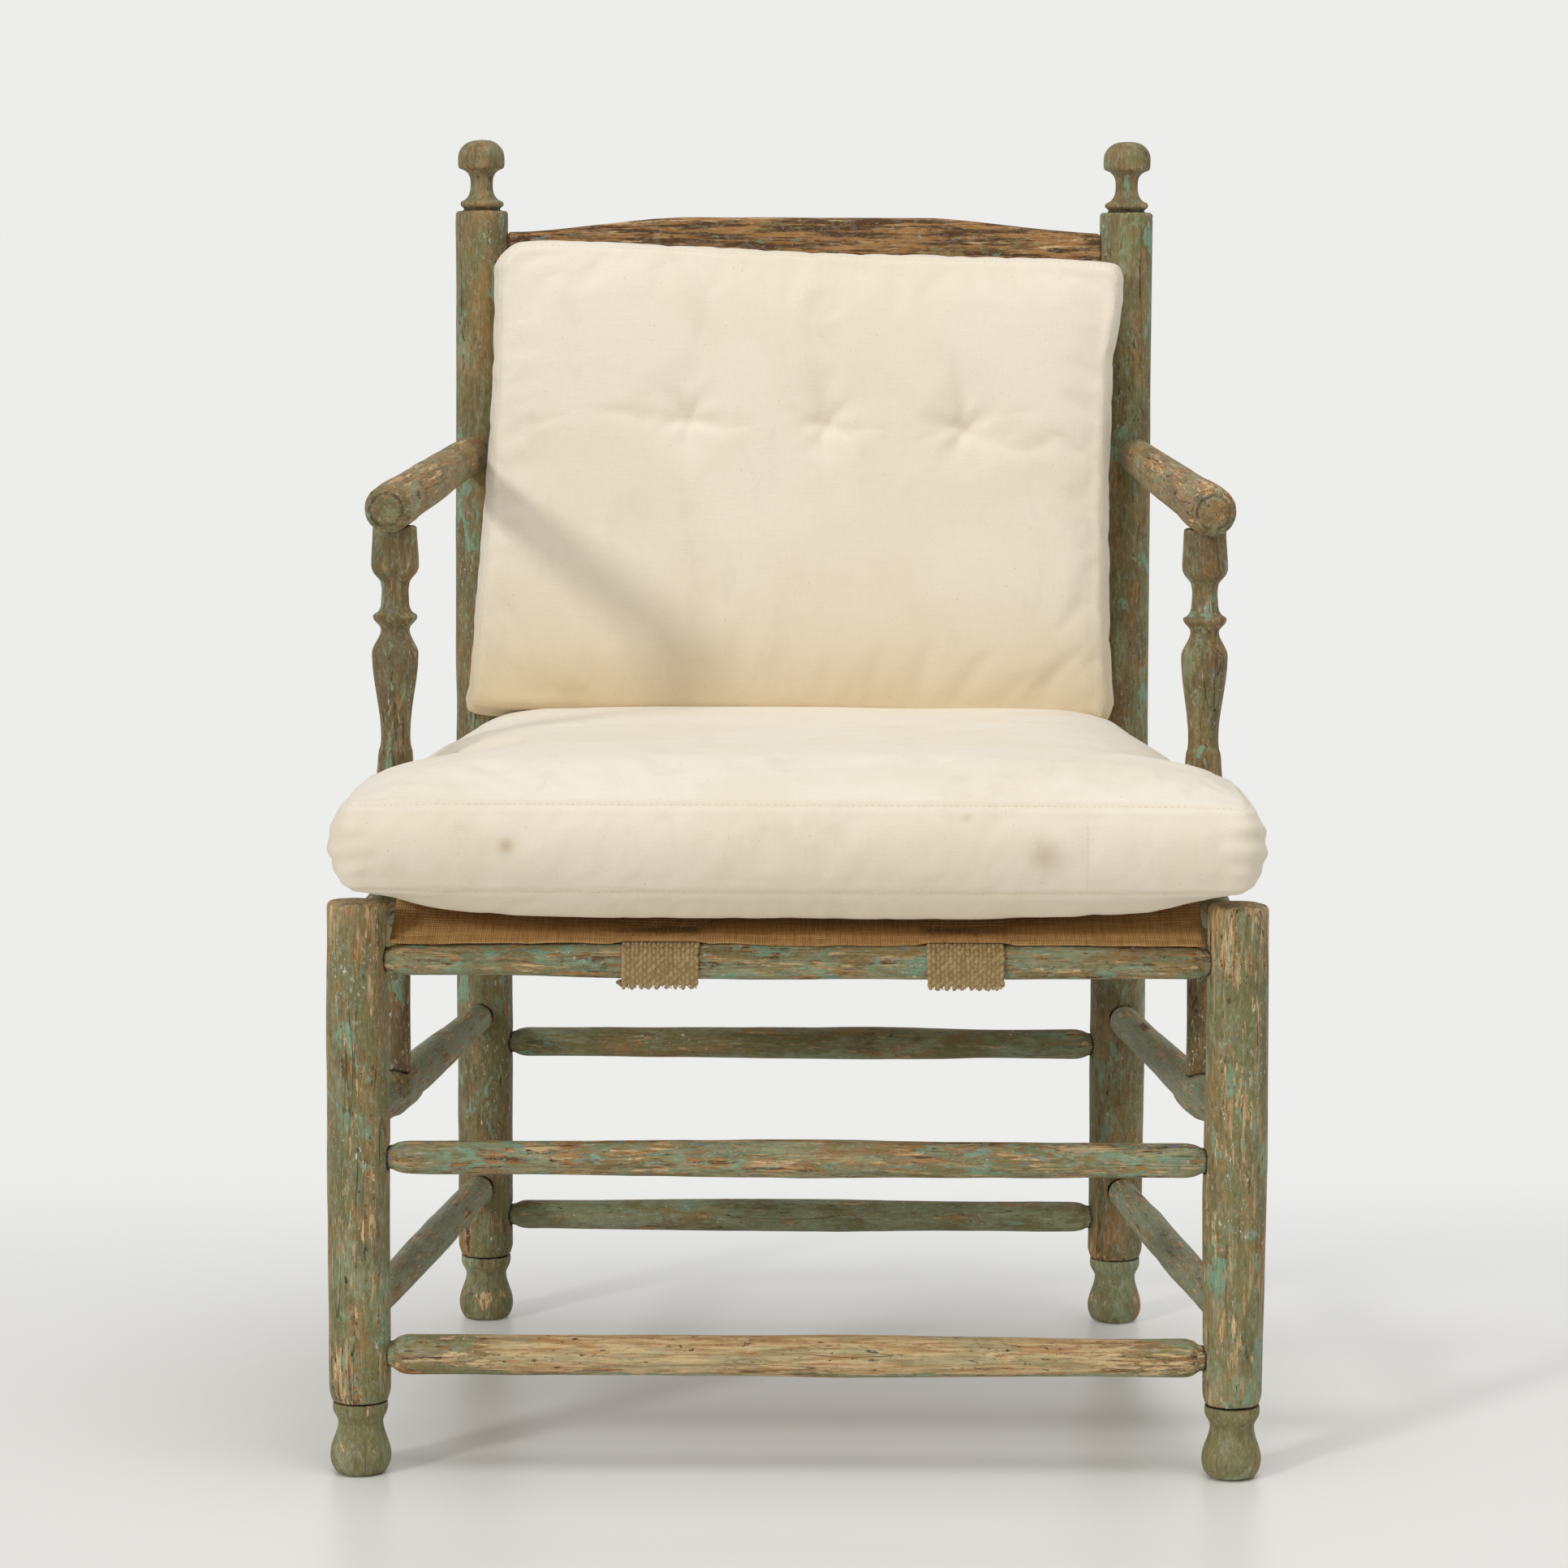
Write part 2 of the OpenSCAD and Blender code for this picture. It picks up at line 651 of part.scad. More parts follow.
hem_r = wrap_r + strap_t + touch;   // radius of the hem round the front and rear rails
hem_angle = 24;
hem_steps = 4;

// 1 within reach of a place, falling to 0 over the next few millimetres
function near(distance, reach) = 1 - smooth((distance - reach) / 12);

// The cover's edge keeps inside the arm supports, and inside the legs, the posts and the
// side rails where it climbs.
function cover_half(y) =
    let (body = side_x(y) + 6,
         leg = front_span / 2 - leg_r - cover_gap,
         post = rear_span / 2 - post_r - edge_gap,
         support = side_x(y) - boss_r - edge_gap * 2)
    min(body + (leg - body) * near(y - front_y, support_set_back),
        body + (post - body) * near(rear_y - y, seat_climb),
        body + (support - body) * near(abs(y - support_y), boss_half + edge_gap));

cover_gap = 1;              // gap between the cover and the front legs
cover_columns = 26;
function cover_row(y, z_shift) = [for (i = [0 : cover_columns])
    let (x = (2 * i / cover_columns - 1) * cover_half(y)) [x, y, cover_z(x, y) + z_shift]];
function hem_row(y, out, angle, r) = [for (p = cover_row(y, 0))
    [p[0], y + out * r * sin(angle), front_rail_z + r * cos(angle)]];

// Rows: the front hem round the rail, the seat, then the rear hem
function cover_rows(thick) = let (r = hem_r + thick) concat(
    [for (i = [hem_steps : -1 : 1]) hem_row(front_y, -1, hem_angle * i / hem_steps, r)],
    [for (j = [0 : seat_rows]) cover_row(front_y + seat_depth * j / seat_rows, thick)],
    [for (i = [1 : hem_steps]) hem_row(rear_y, 1, hem_angle * i / hem_steps, r)]);

// The edge of a grid of points, as places [row, column], once round
function grid_rim(rows, cols) = concat(
    [for (i = [0 : cols - 1]) [0, i]],
    [for (j = [1 : rows - 1]) [j, cols - 1]],
    [for (i = [cols - 2 : -1 : 0]) [rows - 1, i]],
    [for (j = [rows - 2 : -1 : 1]) [j, 0]]);

// A solid between two grids of points with the same rows and columns. Its edge runs by
// way of the belt, a list with one point for each place of the rim.
module sheet_solid(upper, lower, belt = []) {
    rows = len(upper);
    cols = len(upper[0]);
    size = rows * cols;
    function at(j, i) = j * cols + i;
    top = [for (j = [0 : rows - 2]) for (i = [0 : cols - 2]) each
        [[at(j, i), at(j + 1, i + 1), at(j, i + 1)], [at(j, i), at(j + 1, i), at(j + 1, i + 1)]]];
    bottom = [for (t = top) [size + t[0], size + t[2], size + t[1]]];
    rim = [for (p = grid_rim(rows, cols)) at(p[0], p[1])];
    n = len(rim);
    function strip(from, to) = [for (k = [0 : n - 1]) let (m = (k + 1) % n) each
        [[from[k], from[m], to[m]], [from[k], to[m], to[k]]]];
    low_rim = [for (k = rim) size + k];
    belt_rim = [for (k = [0 : n - 1]) 2 * size + k];
    wall = len(belt) == 0 ? strip(rim, low_rim)
        : concat(strip(rim, belt_rim), strip(belt_rim, low_rim));
    polyhedron(points = concat([for (r = upper) each r], [for (r = lower) each r], belt),
               faces = concat(top, bottom, wall), convexity = 4);
}

module hessian_cover() {
    color("tan") sheet_solid(cover_rows(hessian_t), cover_rows(0));
}

// Tacks
tack_r = 0.8;
tack_length = 11;
tack_head_r = 3.4;
tack_head_t = 1.2;
long_tack_angle = 165;      // round the rail from its top, to where the tacks are driven
cross_tack_angle = 170;
tack_pitch = strap_w / 3;

// A tack stands on a strap's outside with its shank through the strap into the rail.
module tack(shank_r, head) {
    r = wrap_r + strap_t + seat_gap;
    translate([0, 0, r - tack_length]) cylinder(r = shank_r, h = tack_length + (head ? 0.5 : 2));
    if (head) translate([0, 0, r]) cylinder(r = tack_head_r, h = tack_head_t);
}

module long_tacks(shank_r, head = false) {
    for (x = [strap_left_x, strap_right_x], k = [-1 : 1], end = [-1, 1])
        translate([x + k * tack_pitch, end < 0 ? front_y : rear_y, front_rail_z])
            rotate([-end * long_tack_angle, 0, 0]) tack(shank_r, head);
}

module cross_tacks(n, shank_r, head = false) {
    for (k = [-1 : 1], side = [-1, 1]) {
        y = cross_y(n) + k * tack_pitch;
        translate([side * side_x(y), y, side_rail_z])
            rotate([0, side * cross_tack_angle, 0]) tack(shank_r, head);
    }
}

module webbing_tacks() {
    color("dimgray") {
        long_tacks(tack_r, true);
        for (n = [1 : 3]) cross_tacks(n, tack_r, true);
    }
}

// Cushions
// A closed solid through like rings of points, capped by a fan at each end
module lofted(rings, first, last) {
    m = len(rings);
    n = len(rings[0]);
    function at(j, i) = 1 + j * n + i % n;
    end = 1 + m * n;
    sides = [for (j = [0 : m - 2]) for (i = [0 : n - 1]) each
        [[at(j, i), at(j, i + 1), at(j + 1, i + 1)], [at(j, i), at(j + 1, i + 1), at(j + 1, i)]]];
    polyhedron(points = concat([first], [for (r = rings) each r], [last]),
               faces = concat([for (i = [0 : n - 1]) [0, at(0, i + 1), at(0, i)]], sides,
                              [for (i = [0 : n - 1]) [end, at(m - 1, i), at(m - 1, i + 1)]]),
               convexity = 6);
}

// Seat cushion: a boxed cushion with wings in front of the arm supports and a narrower
// body behind them.
notch_gap = 4;              // gap between the cushion and an arm support
corner_r = 30;              // the cushion's corners, seen from above
seam_lift = 13;             // height of the lower seam over the legs' tops
crown_power = 5;            // how flat the crown is along its middle
side_points = 6;
panel_points = 14;
seat_low_seam = front_leg_height + seam_lift;
seat_mid_z = seat_low_seam + seat_boxing / 2;
seat_top_z = seat_mid_z + seat_boxing / 2 + seat_crown;
seat_front_y = front_y - cushion_overhang;
seat_back_gap = 14;         // gap between the cushion's back and the posts
seat_side_in = 20;          // how far the cushion's sides stand inside the side rails' axes
seat_back_y = rear_y - post_r - seat_back_gap;
seat_neck = side_x(support_y) - support_base_r - notch_gap;
wing_x = front_span / 2 + cushion_side;
wing_back_y = support_y - support_base_r - notch_gap;
neck_turn = 9;              // depth over which the wings end

function corner(d) = corner_r - sqrt(pow(corner_r, 2) - pow(corner_r - min(d, corner_r), 2));
function seat_half(y) =
    let (body = min(seat_neck, side_x(y) - seat_side_in),
         wing = wing_x - body)
    body + wing * (1 - smooth((y - wing_back_y + neck_turn) / neck_turn));

seat_depths = [0.5, 3, 7, 12, 20, 34, 52];
last_depth = 52;
wing_run = wing_back_y - neck_turn - seat_front_y - last_depth;
seat_ys = concat(
    [for (d = seat_depths) seat_front_y + d],
    [for (t = [0.25, 0.5, 0.75]) seat_front_y + last_depth + wing_run * t],
    [for (t = [0, 0.25, 0.5, 0.75, 1]) wing_back_y - neck_turn * (1 - t)],
    [for (t = [0.1 : 0.15 : 0.95]) wing_back_y + (seat_back_y - last_depth - wing_back_y) * t],
    [for (d = backwards(seat_depths)) seat_back_y - d]);

// The legs' tops and the seat cover hold the cushion's bottom up. The cover's highest
// place nearby counts, because the cushion's rings are wide apart.
floor_step = 14;
function seat_floor(x, y) =
    let (leg = norm([abs(x) - front_span / 2, y - front_y]),
         on_leg = 1 - smooth((leg - leg_r) / 26),
         cover = max(cover_z(x, y - floor_step), cover_z(x, y + floor_step)) + hessian_t)
    max(cover, cover + (front_leg_height - cover) * on_leg) + touch;

// Distance in from the cushion's front or back, and the shares of crown and seam height there
crown_run = 90;
front_power = 2.6;          // how evenly the crown rises from the front and back seams
function seat_depth_in(y) = max(0.1, min(y - seat_front_y, seat_back_y - y));
function crown_share(d) = d < boxing_bulge ? 0
    : 1 - pow(max(0, 1 - (d - boxing_bulge) / crown_run), front_power);
function seam_share(d) = min(1, sqrt(d / boxing_bulge));

function seat_roof(x, y) =
    let (d = seat_depth_in(y), seam = seat_half(y) - corner(d) - boxing_bulge)
    seat_mid_z + seat_boxing / 2 * seam_share(d)
        + seat_crown * crown_share(d) * (1 - pow(min(1, abs(x / seam)), crown_power));

function seat_ring(y) =
    let (d = seat_depth_in(y),
         k = seam_share(d),
         half = seat_half(y) - corner(d),
         seam = half - boxing_bulge * k * k,
         crown = crown_share(d),
         rise = seat_boxing / 2 * k,
         right = [for (i = [0 : side_points - 1]) let (t = 2 * i / (side_points - 1) - 1)
             [half - boxing_bulge * pow(t * k, 2), y, seat_mid_z + rise * t]],
         top = [for (i = [1 : panel_points - 1]) let (u = cos(180 * i / panel_points))
             [seam * u, y, seat_mid_z + rise
                 + seat_crown * crown * (1 - pow(abs(u), crown_power))]],
         bottom = [for (p = backwards(top)) let (u = p[0] / seam)
             [p[0], y, max(seat_floor(p[0], y), seat_mid_z - rise
                 - seat_belly * crown * (1 - pow(abs(u), crown_power)))]],
         left = [for (p = backwards(right)) [-p[0], y, p[2]]])
    concat(right, top, left, bottom);

module seat_cushion() {
    color("antiquewhite") lofted([for (y = seat_ys) seat_ring(y)],
        [0, seat_front_y, seat_mid_z], [0, seat_back_y, seat_mid_z]);
}

// Back cushion: stands on the seat cushion and leans on the posts.
back_columns = 26;
back_rows = 20;
back_bulge = boxing_bulge * 0.45;
back_corner = 0.025;                // how far the corners are drawn in, as a share
drawn_in = 3;                       // how far the long sides are drawn in
tuft_r = 13;
tuft_pitch = 110;
tuft_middle = [19, 45];             // the middle tuft, across and up from the cushion's middle
back_sink = 12;                     // how far the cushion's foot is pressed flat
back_rest = 17.7;                   // how far its edges reach back beside the posts
back_shift = 1;                     // how far it stands to the left of the chair's middle
back_foot_z = seat_top_z - back_sink + back_cushion_t / 2 * sin(back_lean);
back_cushion_h = (post_height - back_top_drop - back_foot_z) / cos(back_lean);
back_mid_y = rear_y - post_r + back_rest - back_cushion_t / 2 * cos(back_lean)
    - back_cushion_h / 2 * sin(back_lean);
back_mid = [-back_shift, back_mid_y, (back_foot_z + post_height - back_top_drop) / 2];
back_cushion_w = 2 * (arm_x(back_mid_y) - arm_rear_d / 2 - back_side_gap - back_shift);
back_half_w = back_cushion_w / 2 - back_bulge;
back_half_h = back_cushion_h / 2 - back_bulge;

function back_place(p) =
    let (across = p[0] * cos(back_turn) + p[2] * sin(back_turn),
         up = p[2] * cos(back_turn) - p[0] * sin(back_turn),
         x = back_mid[0] + across,
         y = back_mid[1] + p[1] * cos(back_lean) + up * sin(back_lean),
         z = back_mid[2] + up * cos(back_lean) - p[1] * sin(back_lean))
    [x, y, max(z, seat_roof(x, y) + touch * 2)];

function tufts(x, z) = let (at = [for (i = [-1 : 1])
        norm([x - tuft_middle[0] - i * tuft_pitch, z - tuft_middle[1]])])
    tuft_depth * exp(-pow(min(at) / tuft_r, 2));

// Place on a face of the cushion: u and v run from -1 to 1, and facing is -1 at the front
function back_point(u, v, facing) =
    let (x = u * (back_half_w - back_taper / 4 * v - drawn_in * (1 - v * v))
             * (1 - back_corner * pow(v, 12)),
         z = v * (back_half_h - drawn_in * (1 - u * u)) * (1 - back_corner * pow(u, 12)),
         crown = back_crown * (1 - pow(abs(u), 4)) * (1 - pow(abs(v), 4)),
         tuft = facing < 0 ? tufts(x, z) : 0)
    [x, facing * (back_cushion_t / 2 + crown - tuft), z];

function back_face(facing) = [for (j = [0 : back_rows]) [for (i = [0 : back_columns])
    back_point(2 * i / back_columns - 1, 2 * j / back_rows - 1, facing)]];

module back_cushion() {
    front = back_face(-1);
    rear = back_face(1);
    belt = [for (c = grid_rim(back_rows + 1, back_columns + 1)) let (p = front[c[0]][c[1]])
        [p[0] * (1 + back_bulge / back_half_w), 0, p[2] * (1 + back_bulge / back_half_h)]];
    color("antiquewhite") sheet_solid([for (r = front) [for (p = r) back_place(p)]],
        [for (r = rear) [for (p = r) back_place(p)]], [for (p = belt) back_place(p)]);
}

// The chair
front_leg(-1);  // front_leg_left
front_leg(1);  // front_leg_right
rear_post(-1);  // rear_post_left
rear_post(1);  // rear_post_right
foot(front_axis(-1, 0));  // front_foot_left
foot(front_axis(1, 0));  // front_foot_right
foot(post_axis(-1, 0));  // rear_foot_left
foot(post_axis(1, 0));  // rear_foot_right
cross_seat_rail(front_rung(front_rail_z), front_shoulder);  // front_seat_rail
cross_seat_rail(rear_rung(front_rail_z), rear_shoulder);  // rear_seat_rail
side_seat_rail(-1);  // side_seat_rail_left
side_seat_rail(1);  // side_seat_rail_right
cross_rung(front_rung(upper_stretcher_z), stretcher_d, front_shoulder);  // front_stretcher_upper
cross_rung(front_rung(lower_stretcher_z), foot_rung_d, front_shoulder);  // front_stretcher_lower
cross_rung(rear_rung(upper_stretcher_z), stretcher_d, rear_shoulder);  // rear_stretcher_upper
cross_rung(rear_rung(lower_stretcher_z), stretcher_d, rear_shoulder);  // rear_stretcher_lower
side_stretcher_upper(-1);  // side_stretcher_upper_left
side_stretcher_upper(1);  // side_stretcher_upper_right
side_stretcher_lower(-1);  // side_stretcher_lower_left
side_stretcher_lower(1);  // side_stretcher_lower_right
arm(-1);  // arm_left
arm(1);  // arm_right
arm_support(-1);  // arm_support_left
arm_support(1);  // arm_support_right
board(BOARDS[0]);  // crest_rail
board(BOARDS[1]);  // back_slat_upper
board(BOARDS[2]);  // back_slat_middle
board(BOARDS[3]);  // back_slat_lower
crest_pegs();
web_strap_long(strap_left_x);  // web_strap_long_left
web_strap_long(strap_right_x);  // web_strap_long_right
web_strap_cross(1);  // web_strap_cross_front
web_strap_cross(2);  // web_strap_cross_middle
web_strap_cross(3);  // web_strap_cross_rear
hessian_cover();
webbing_tacks();
seat_cushion();
back_cushion();
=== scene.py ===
"""A rustic ladder-back armchair: worn painted wood, a webbed seat and two loose boxed cushions.

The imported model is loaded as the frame. Each wooden piece is dressed with a worn copy of
itself, and each soft piece is made here in the place of its solid.
"""
import math

import bmesh
import bpy
import numpy as np
from bpy.props import FloatProperty, FloatVectorProperty, IntProperty, PointerProperty
from mathutils import Matrix, Vector
from mathutils.bvhtree import BVHTree
from mathutils.kdtree import KDTree


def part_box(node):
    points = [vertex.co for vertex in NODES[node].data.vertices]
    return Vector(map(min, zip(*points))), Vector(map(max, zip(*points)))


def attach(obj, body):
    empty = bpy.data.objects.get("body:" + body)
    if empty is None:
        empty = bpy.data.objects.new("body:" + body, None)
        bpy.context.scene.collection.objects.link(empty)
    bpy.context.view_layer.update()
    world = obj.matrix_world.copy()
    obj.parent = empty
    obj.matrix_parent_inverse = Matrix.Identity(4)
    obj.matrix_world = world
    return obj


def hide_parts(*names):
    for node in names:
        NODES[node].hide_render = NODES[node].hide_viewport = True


bl_info = {
    "name": "Ladder-back armchair",
    "version": (1, 0, 0),
    "blender": (4, 5, 0),
    "location": "3D View > Sidebar > Chair",
    "description": "Dresses a ladder-back armchair with worn paint, webbing and cushions",
    "category": "Object",
}

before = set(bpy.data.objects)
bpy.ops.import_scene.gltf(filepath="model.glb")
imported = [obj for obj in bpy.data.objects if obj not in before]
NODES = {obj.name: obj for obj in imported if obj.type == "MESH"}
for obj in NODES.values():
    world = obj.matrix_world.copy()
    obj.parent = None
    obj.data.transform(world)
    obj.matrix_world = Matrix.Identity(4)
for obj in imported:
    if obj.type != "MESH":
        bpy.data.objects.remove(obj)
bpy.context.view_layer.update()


def linear(hex_colour):
    """A colour written as sRGB hex, turned to the linear values that Blender's shaders use."""
    parts = [int(hex_colour[i:i + 2], 16) / 255 for i in (1, 3, 5)]
    return [c / 12.92 if c <= 0.04045 else ((c + 0.055) / 1.055) ** 2.4 for c in parts] + [1.0]


def colour(name, words, hex_colour):
    """A colour that a user can change in the panel."""
    return FloatVectorProperty(name=name, description=words, subtype="COLOR", size=4,
                               min=0, max=1, default=linear(hex_colour))


def length(name, words, metres, low=0.0, high=2.0):
    """A length that a user can change in the panel."""
    return FloatProperty(name=name, description=words, default=metres, min=low, max=high,
                         unit="LENGTH", subtype="DISTANCE", precision=4)


class ChairWoodSettings(bpy.types.PropertyGroup):
    """Sizes and colours of the worn, painted wood."""
    even_face: length("Face size", "Edge of the small even faces that the wood is cut into", 0.0016)
    fine_face: length("Fine face size", "The same on feet, arms and their supports", 0.0013)
    plain_face: length("Plain face size", "The same on the crest and plain rungs", 0.0018)
    hidden_face: length("Hidden face size", "The same on pieces that the cushions hide", 0.0036)
    knob: length("Knob", "Length of an arm's knob, from its face to its ring groove", 0.075)
    groove_half: length("Ring groove", "Half the width of the knob's ring groove", 0.0032)
    warp: length("Warp", "How far a piece wanders from its turned shape", 0.0007)
    dents: length("Dents", "Depth of the dents and flats from use", 0.00035)
    grain_relief: length("Grain relief", "Depth of the open grain", 0.00016)
    paint_green: colour("Green paint", "The paint where it is still whole", "#8B9A78")
    paint_olive: colour("Olive paint", "The paint where it has gone dull and dark", "#737348")
    paint_teal: colour("Teal paint", "The older coat that shows in patches", "#7C9F82")
    slate: colour("Slate paint", "Blue grey remains of the first coat", "#6F7786")
    wood_dark: colour("Dark wood", "Old bare wood in the shade of the grain", "#513719")
    wood_mid: colour("Bare wood", "Old bare wood", "#A57A47")
    wood_light: colour("Rubbed wood", "Wood rubbed pale by use", "#D3B787")
    chalk: colour("Chalk", "The pale ground that shows where paint has chipped", "#DEDFD2")
    grime: colour("Grime", "Dirt that lies in the hollows", "#221D13")


class ChairClothSettings(bpy.types.PropertyGroup):
    """Sizes and colours of the cushions."""
    voxel: length("Cloth face size", "Edge of the faces that the cushions are simulated with", 0.006)
    pressure: FloatProperty(name="Pressure", description="How hard the filling presses the cover out",
                            default=2.2, min=0, max=10)
    slack: FloatProperty(name="Slack", description="Share by which the cover is too big for the filling",
                         default=0.010, min=0, max=0.2)
    cap: length("Cap", "Farthest that the filling may push a point of the cover", 0.004)
    pucker: length("Pucker", "Height of the puckers beside the seams", 0.0008)
    seat_seam_low: length("Lower seam", "Height of the seat cushion's lower seam", 0.433)
    seat_seam_high: length("Upper seam", "Height of the seat cushion's upper seam", 0.497)
    seam_in: length("Seam inset", "How far the front seams stand behind the boxing's bulge", 0.012)
    back_width: length("Back cushion width", "Width of the back cushion", 0.4997)
    back_height: length("Back cushion height", "Height of the back cushion along its lean", 0.3768)
    back_thickness: length("Back cushion thickness", "Thickness at its seams", 0.070)
    back_lean: FloatProperty(name="Lean", description="Lean of the back cushion", subtype="ANGLE",
                             default=math.radians(8))
    back_turn: FloatProperty(name="Turn", description="Sideways turn of the back cushion",
                             subtype="ANGLE", default=math.radians(2))
    stitch: length("Stitch", "Distance from one seam stitch to the next", 0.0046)
    calico: colour("Calico", "Unbleached cotton", "#EFE7D9")
    # Also the colour that the cushions' painted shade is mixed towards
    calico_yellowed_and_shade: colour("Aged calico", "Cotton that has yellowed", "#D8C59F")
    stain: colour("Stain", "Old spots on the cotton", "#A78B5C")
    stain_dark: colour("Dark stain", "Dirt that has soaked in", "#6B6354")
    thread: colour("Thread", "The seams' thread", "#D8C8A6")


class ChairWebbingSettings(bpy.types.PropertyGroup):
    """Sizes and colours of the seat's webbing and its hessian cover."""
    strap_width: length("Strap width", "Width of the jute webbing", 0.055)
    strap_thickness: length("Strap thickness", "Thickness of the jute webbing", 0.0024)
    columns: IntProperty(name="Columns", description="Columns of stitches across a strap",
                         default=18, min=4, max=30)
    row_pitch: length("Row pitch", "Distance from one row of stitches to the next", 0.0053)
    tail_end: length("Tail end", "Height of the lower end of the long straps' tails", 0.3622)
    hem_wave: length("Hem wave", "How far the hessian's hem wanders up and down", 0.0012)
    hem_drop: length("Hem drop", "How far the hem falls onto the rail", 0.0036)
    hem_depth: length("Hem depth", "Where the folded hem ends behind the rail's axis", 0.019)
    jute: colour("Jute", "Coarse jute yarn", "#B39A6C")
    # Also the painted shade of the core between the stitches
    jute_dull_and_shade: colour("Shaded jute", "Jute between the stitches", "#6E5532")
    jute_pale: colour("Pale jute", "Jute that light has bleached", "#CDB68A")
    hessian: colour("Hessian", "Plain woven jute cloth", "#D0A266")
    hessian_pale: colour("Pale hessian", "The thick yarns of the cloth", "#E2C088")
    hessian_shade: colour("Dull hessian", "The thin yarns of the cloth", "#B98D55")
    # Painted shade: the dark that shows through the gaps of the open weave
    hessian_gap_shade: colour("Hessian gaps", "The gaps of the open weave", "#8C673C")


class ChairStageSettings(bpy.types.PropertyGroup):
    """The floor, the backdrop, the lamps and the camera."""
    floor: colour("Floor", "The pale floor", "#F4F3EF")
    backdrop: colour("Backdrop", "The pale backdrop", "#EDEDEB")
    key: FloatProperty(name="Key lamp", description="Strength of the soft, far lamp at the front left",
                       default=1.0, min=0)
    key_angle: FloatProperty(name="Key softness", subtype="ANGLE",
                             description="How large the key lamp looks from the chair",
                             default=math.radians(8), min=0, max=math.pi)
    fill_power: FloatProperty(name="Fill lamp", description="Power of the soft lamp overhead",
                              subtype="POWER", unit="POWER", default=38.0, min=0)
    world: FloatProperty(name="Room light", description="Strength of the light from all round",
                         default=0.47, min=0, max=3)


# Shared tools

def node(tree, kind, inputs=None, out=None, **settings):
    """Adds one node with its settings and links. An input is a value, or the output that feeds it.
    Returns the node, or its output where out says which."""
    made = tree.nodes.new(kind)
    for name, value in settings.items():
        setattr(made, name, value)
    for name, value in (inputs or {}).items():
        if isinstance(value, bpy.types.NodeSocket):
            tree.links.new(value, made.inputs[name])
        else:
            made.inputs[name].default_value = value
    return made if out is None else made.outputs[out]


def maths(tree, operation, *values):
    """One step of arithmetic in a node tree."""
    return node(tree, "ShaderNodeMath", dict(enumerate(values)), 0, operation=operation)


def mixed(tree, share, under, over):
    """One colour laid over another, as strongly as share says."""
    return node(tree, "ShaderNodeMix", {0: share, 6: under, 7: over}, 2, data_type="RGBA")


def stored(tree, name, out="Fac"):
    """A value that the mesh stores for each of its vertices."""
    return node(tree, "ShaderNodeAttribute", None, out, attribute_name=name)


def new_material(name, **values):
    """An empty material with a Principled shader and its values. Returns it, its tree and the shader."""
    material = bpy.data.materials.new(name)
    material.use_nodes = True
    tree = material.node_tree
    tree.nodes.clear()
    shader = node(tree, "ShaderNodeBsdfPrincipled")
    for label, value in values.items():
        shader.inputs[label.replace("_", " ")].default_value = value
    node(tree, "ShaderNodeOutputMaterial", {"Surface": shader.outputs[0]})
    return material, tree, shader


def level(share):
    """The level that about this share of Blender's noise lies above."""
    under = min(max(1 - share, 0.001), 0.999)
    return 0.5 + 0.452 * (under ** 0.14 - (1 - under) ** 0.14)


def layered(tree, where, base, layers, worn=0.0):
    """Lays coats of colour over a base, each where a noise of its own is high. A layer is a row of:
    its name, the noise's lumps to the metre along x, y and z, its detail, roughness and twist, the
    share of the surface covered, how soft the rim is, how strongly wear adds to it, its strength
    and its colour. Returns the colour and the layers' masks."""
    masks = {}
    for row, (name, lumps, detail, rough, twist, share, rim, pull, strength, tint) in enumerate(layers):
        # Each coat's noise starts at a place of its own
        shift = 7.3 * row + 3.1 * len(layers)
        at = node(tree, "ShaderNodeVectorMath",
                  {0: where, 1: lumps, 2: (shift, 2 * shift, 3 * shift)}, 0,
                  operation="MULTIPLY_ADD")
        noise = node(tree, "ShaderNodeTexNoise", {"Vector": at, "Scale": 1.0, "Detail": detail,
                                                  "Roughness": rough, "Distortion": twist}, "Fac")
        if pull:
            noise = maths(tree, "MULTIPLY_ADD", worn, pull, noise)
        masks[name] = node(tree, "ShaderNodeMapRange",
                           {0: noise, 1: level(share) - rim, 2: level(share) + rim, 4: strength}, 0,
                           interpolation_type="SMOOTHSTEP")
        base = mixed(tree, masks[name], base, tint)
    return base, masks


def lattice_noise(points, cell, seed):
    """Smooth noise from -1 to 1 at each point. cell is the size of its lumps, one or three sizes."""
    p = points / np.asarray(cell)
    base = np.floor(p).astype(np.int64)
    t = p - base
    t = t * t * (3 - 2 * t)
    total = np.zeros(len(points))
    for corner in np.ndindex(2, 2, 2):
        at = base + np.array(corner)
        # The corner's three whole numbers are mixed up into one value from 0 to 1
        mixed_up = (at[:, 0] * 73856093) ^ (at[:, 1] * 19349663) ^ (at[:, 2] * 83492791)
        mixed_up = (mixed_up + seed * 2654435761) & 0xFFFFFFFF
        mixed_up = ((mixed_up ^ (mixed_up >> 15)) * 2246822519) & 0xFFFFFFFF
        mixed_up = ((mixed_up ^ (mixed_up >> 13)) * 3266489917) & 0xFFFFFFFF
        value = ((mixed_up ^ (mixed_up >> 16)) & 0xFFFF) / 65535
        weight = np.prod(np.where(np.array(corner) == 1, t, 1 - t), axis=1)
        total += weight * value
    return total * 2 - 1


def coordinates(mesh, what="co"):
    """The vertices' places or normals as an array."""
    values = np.zeros(len(mesh.vertices) * 3, np.float32)
    mesh.vertices.foreach_get(what, values)
    return values.reshape(-1, 3).astype(np.float64)


def place(mesh, points):
    """Moves the vertices to new places."""
    mesh.vertices.foreach_set("co", points.astype(np.float32).ravel())
    mesh.update()


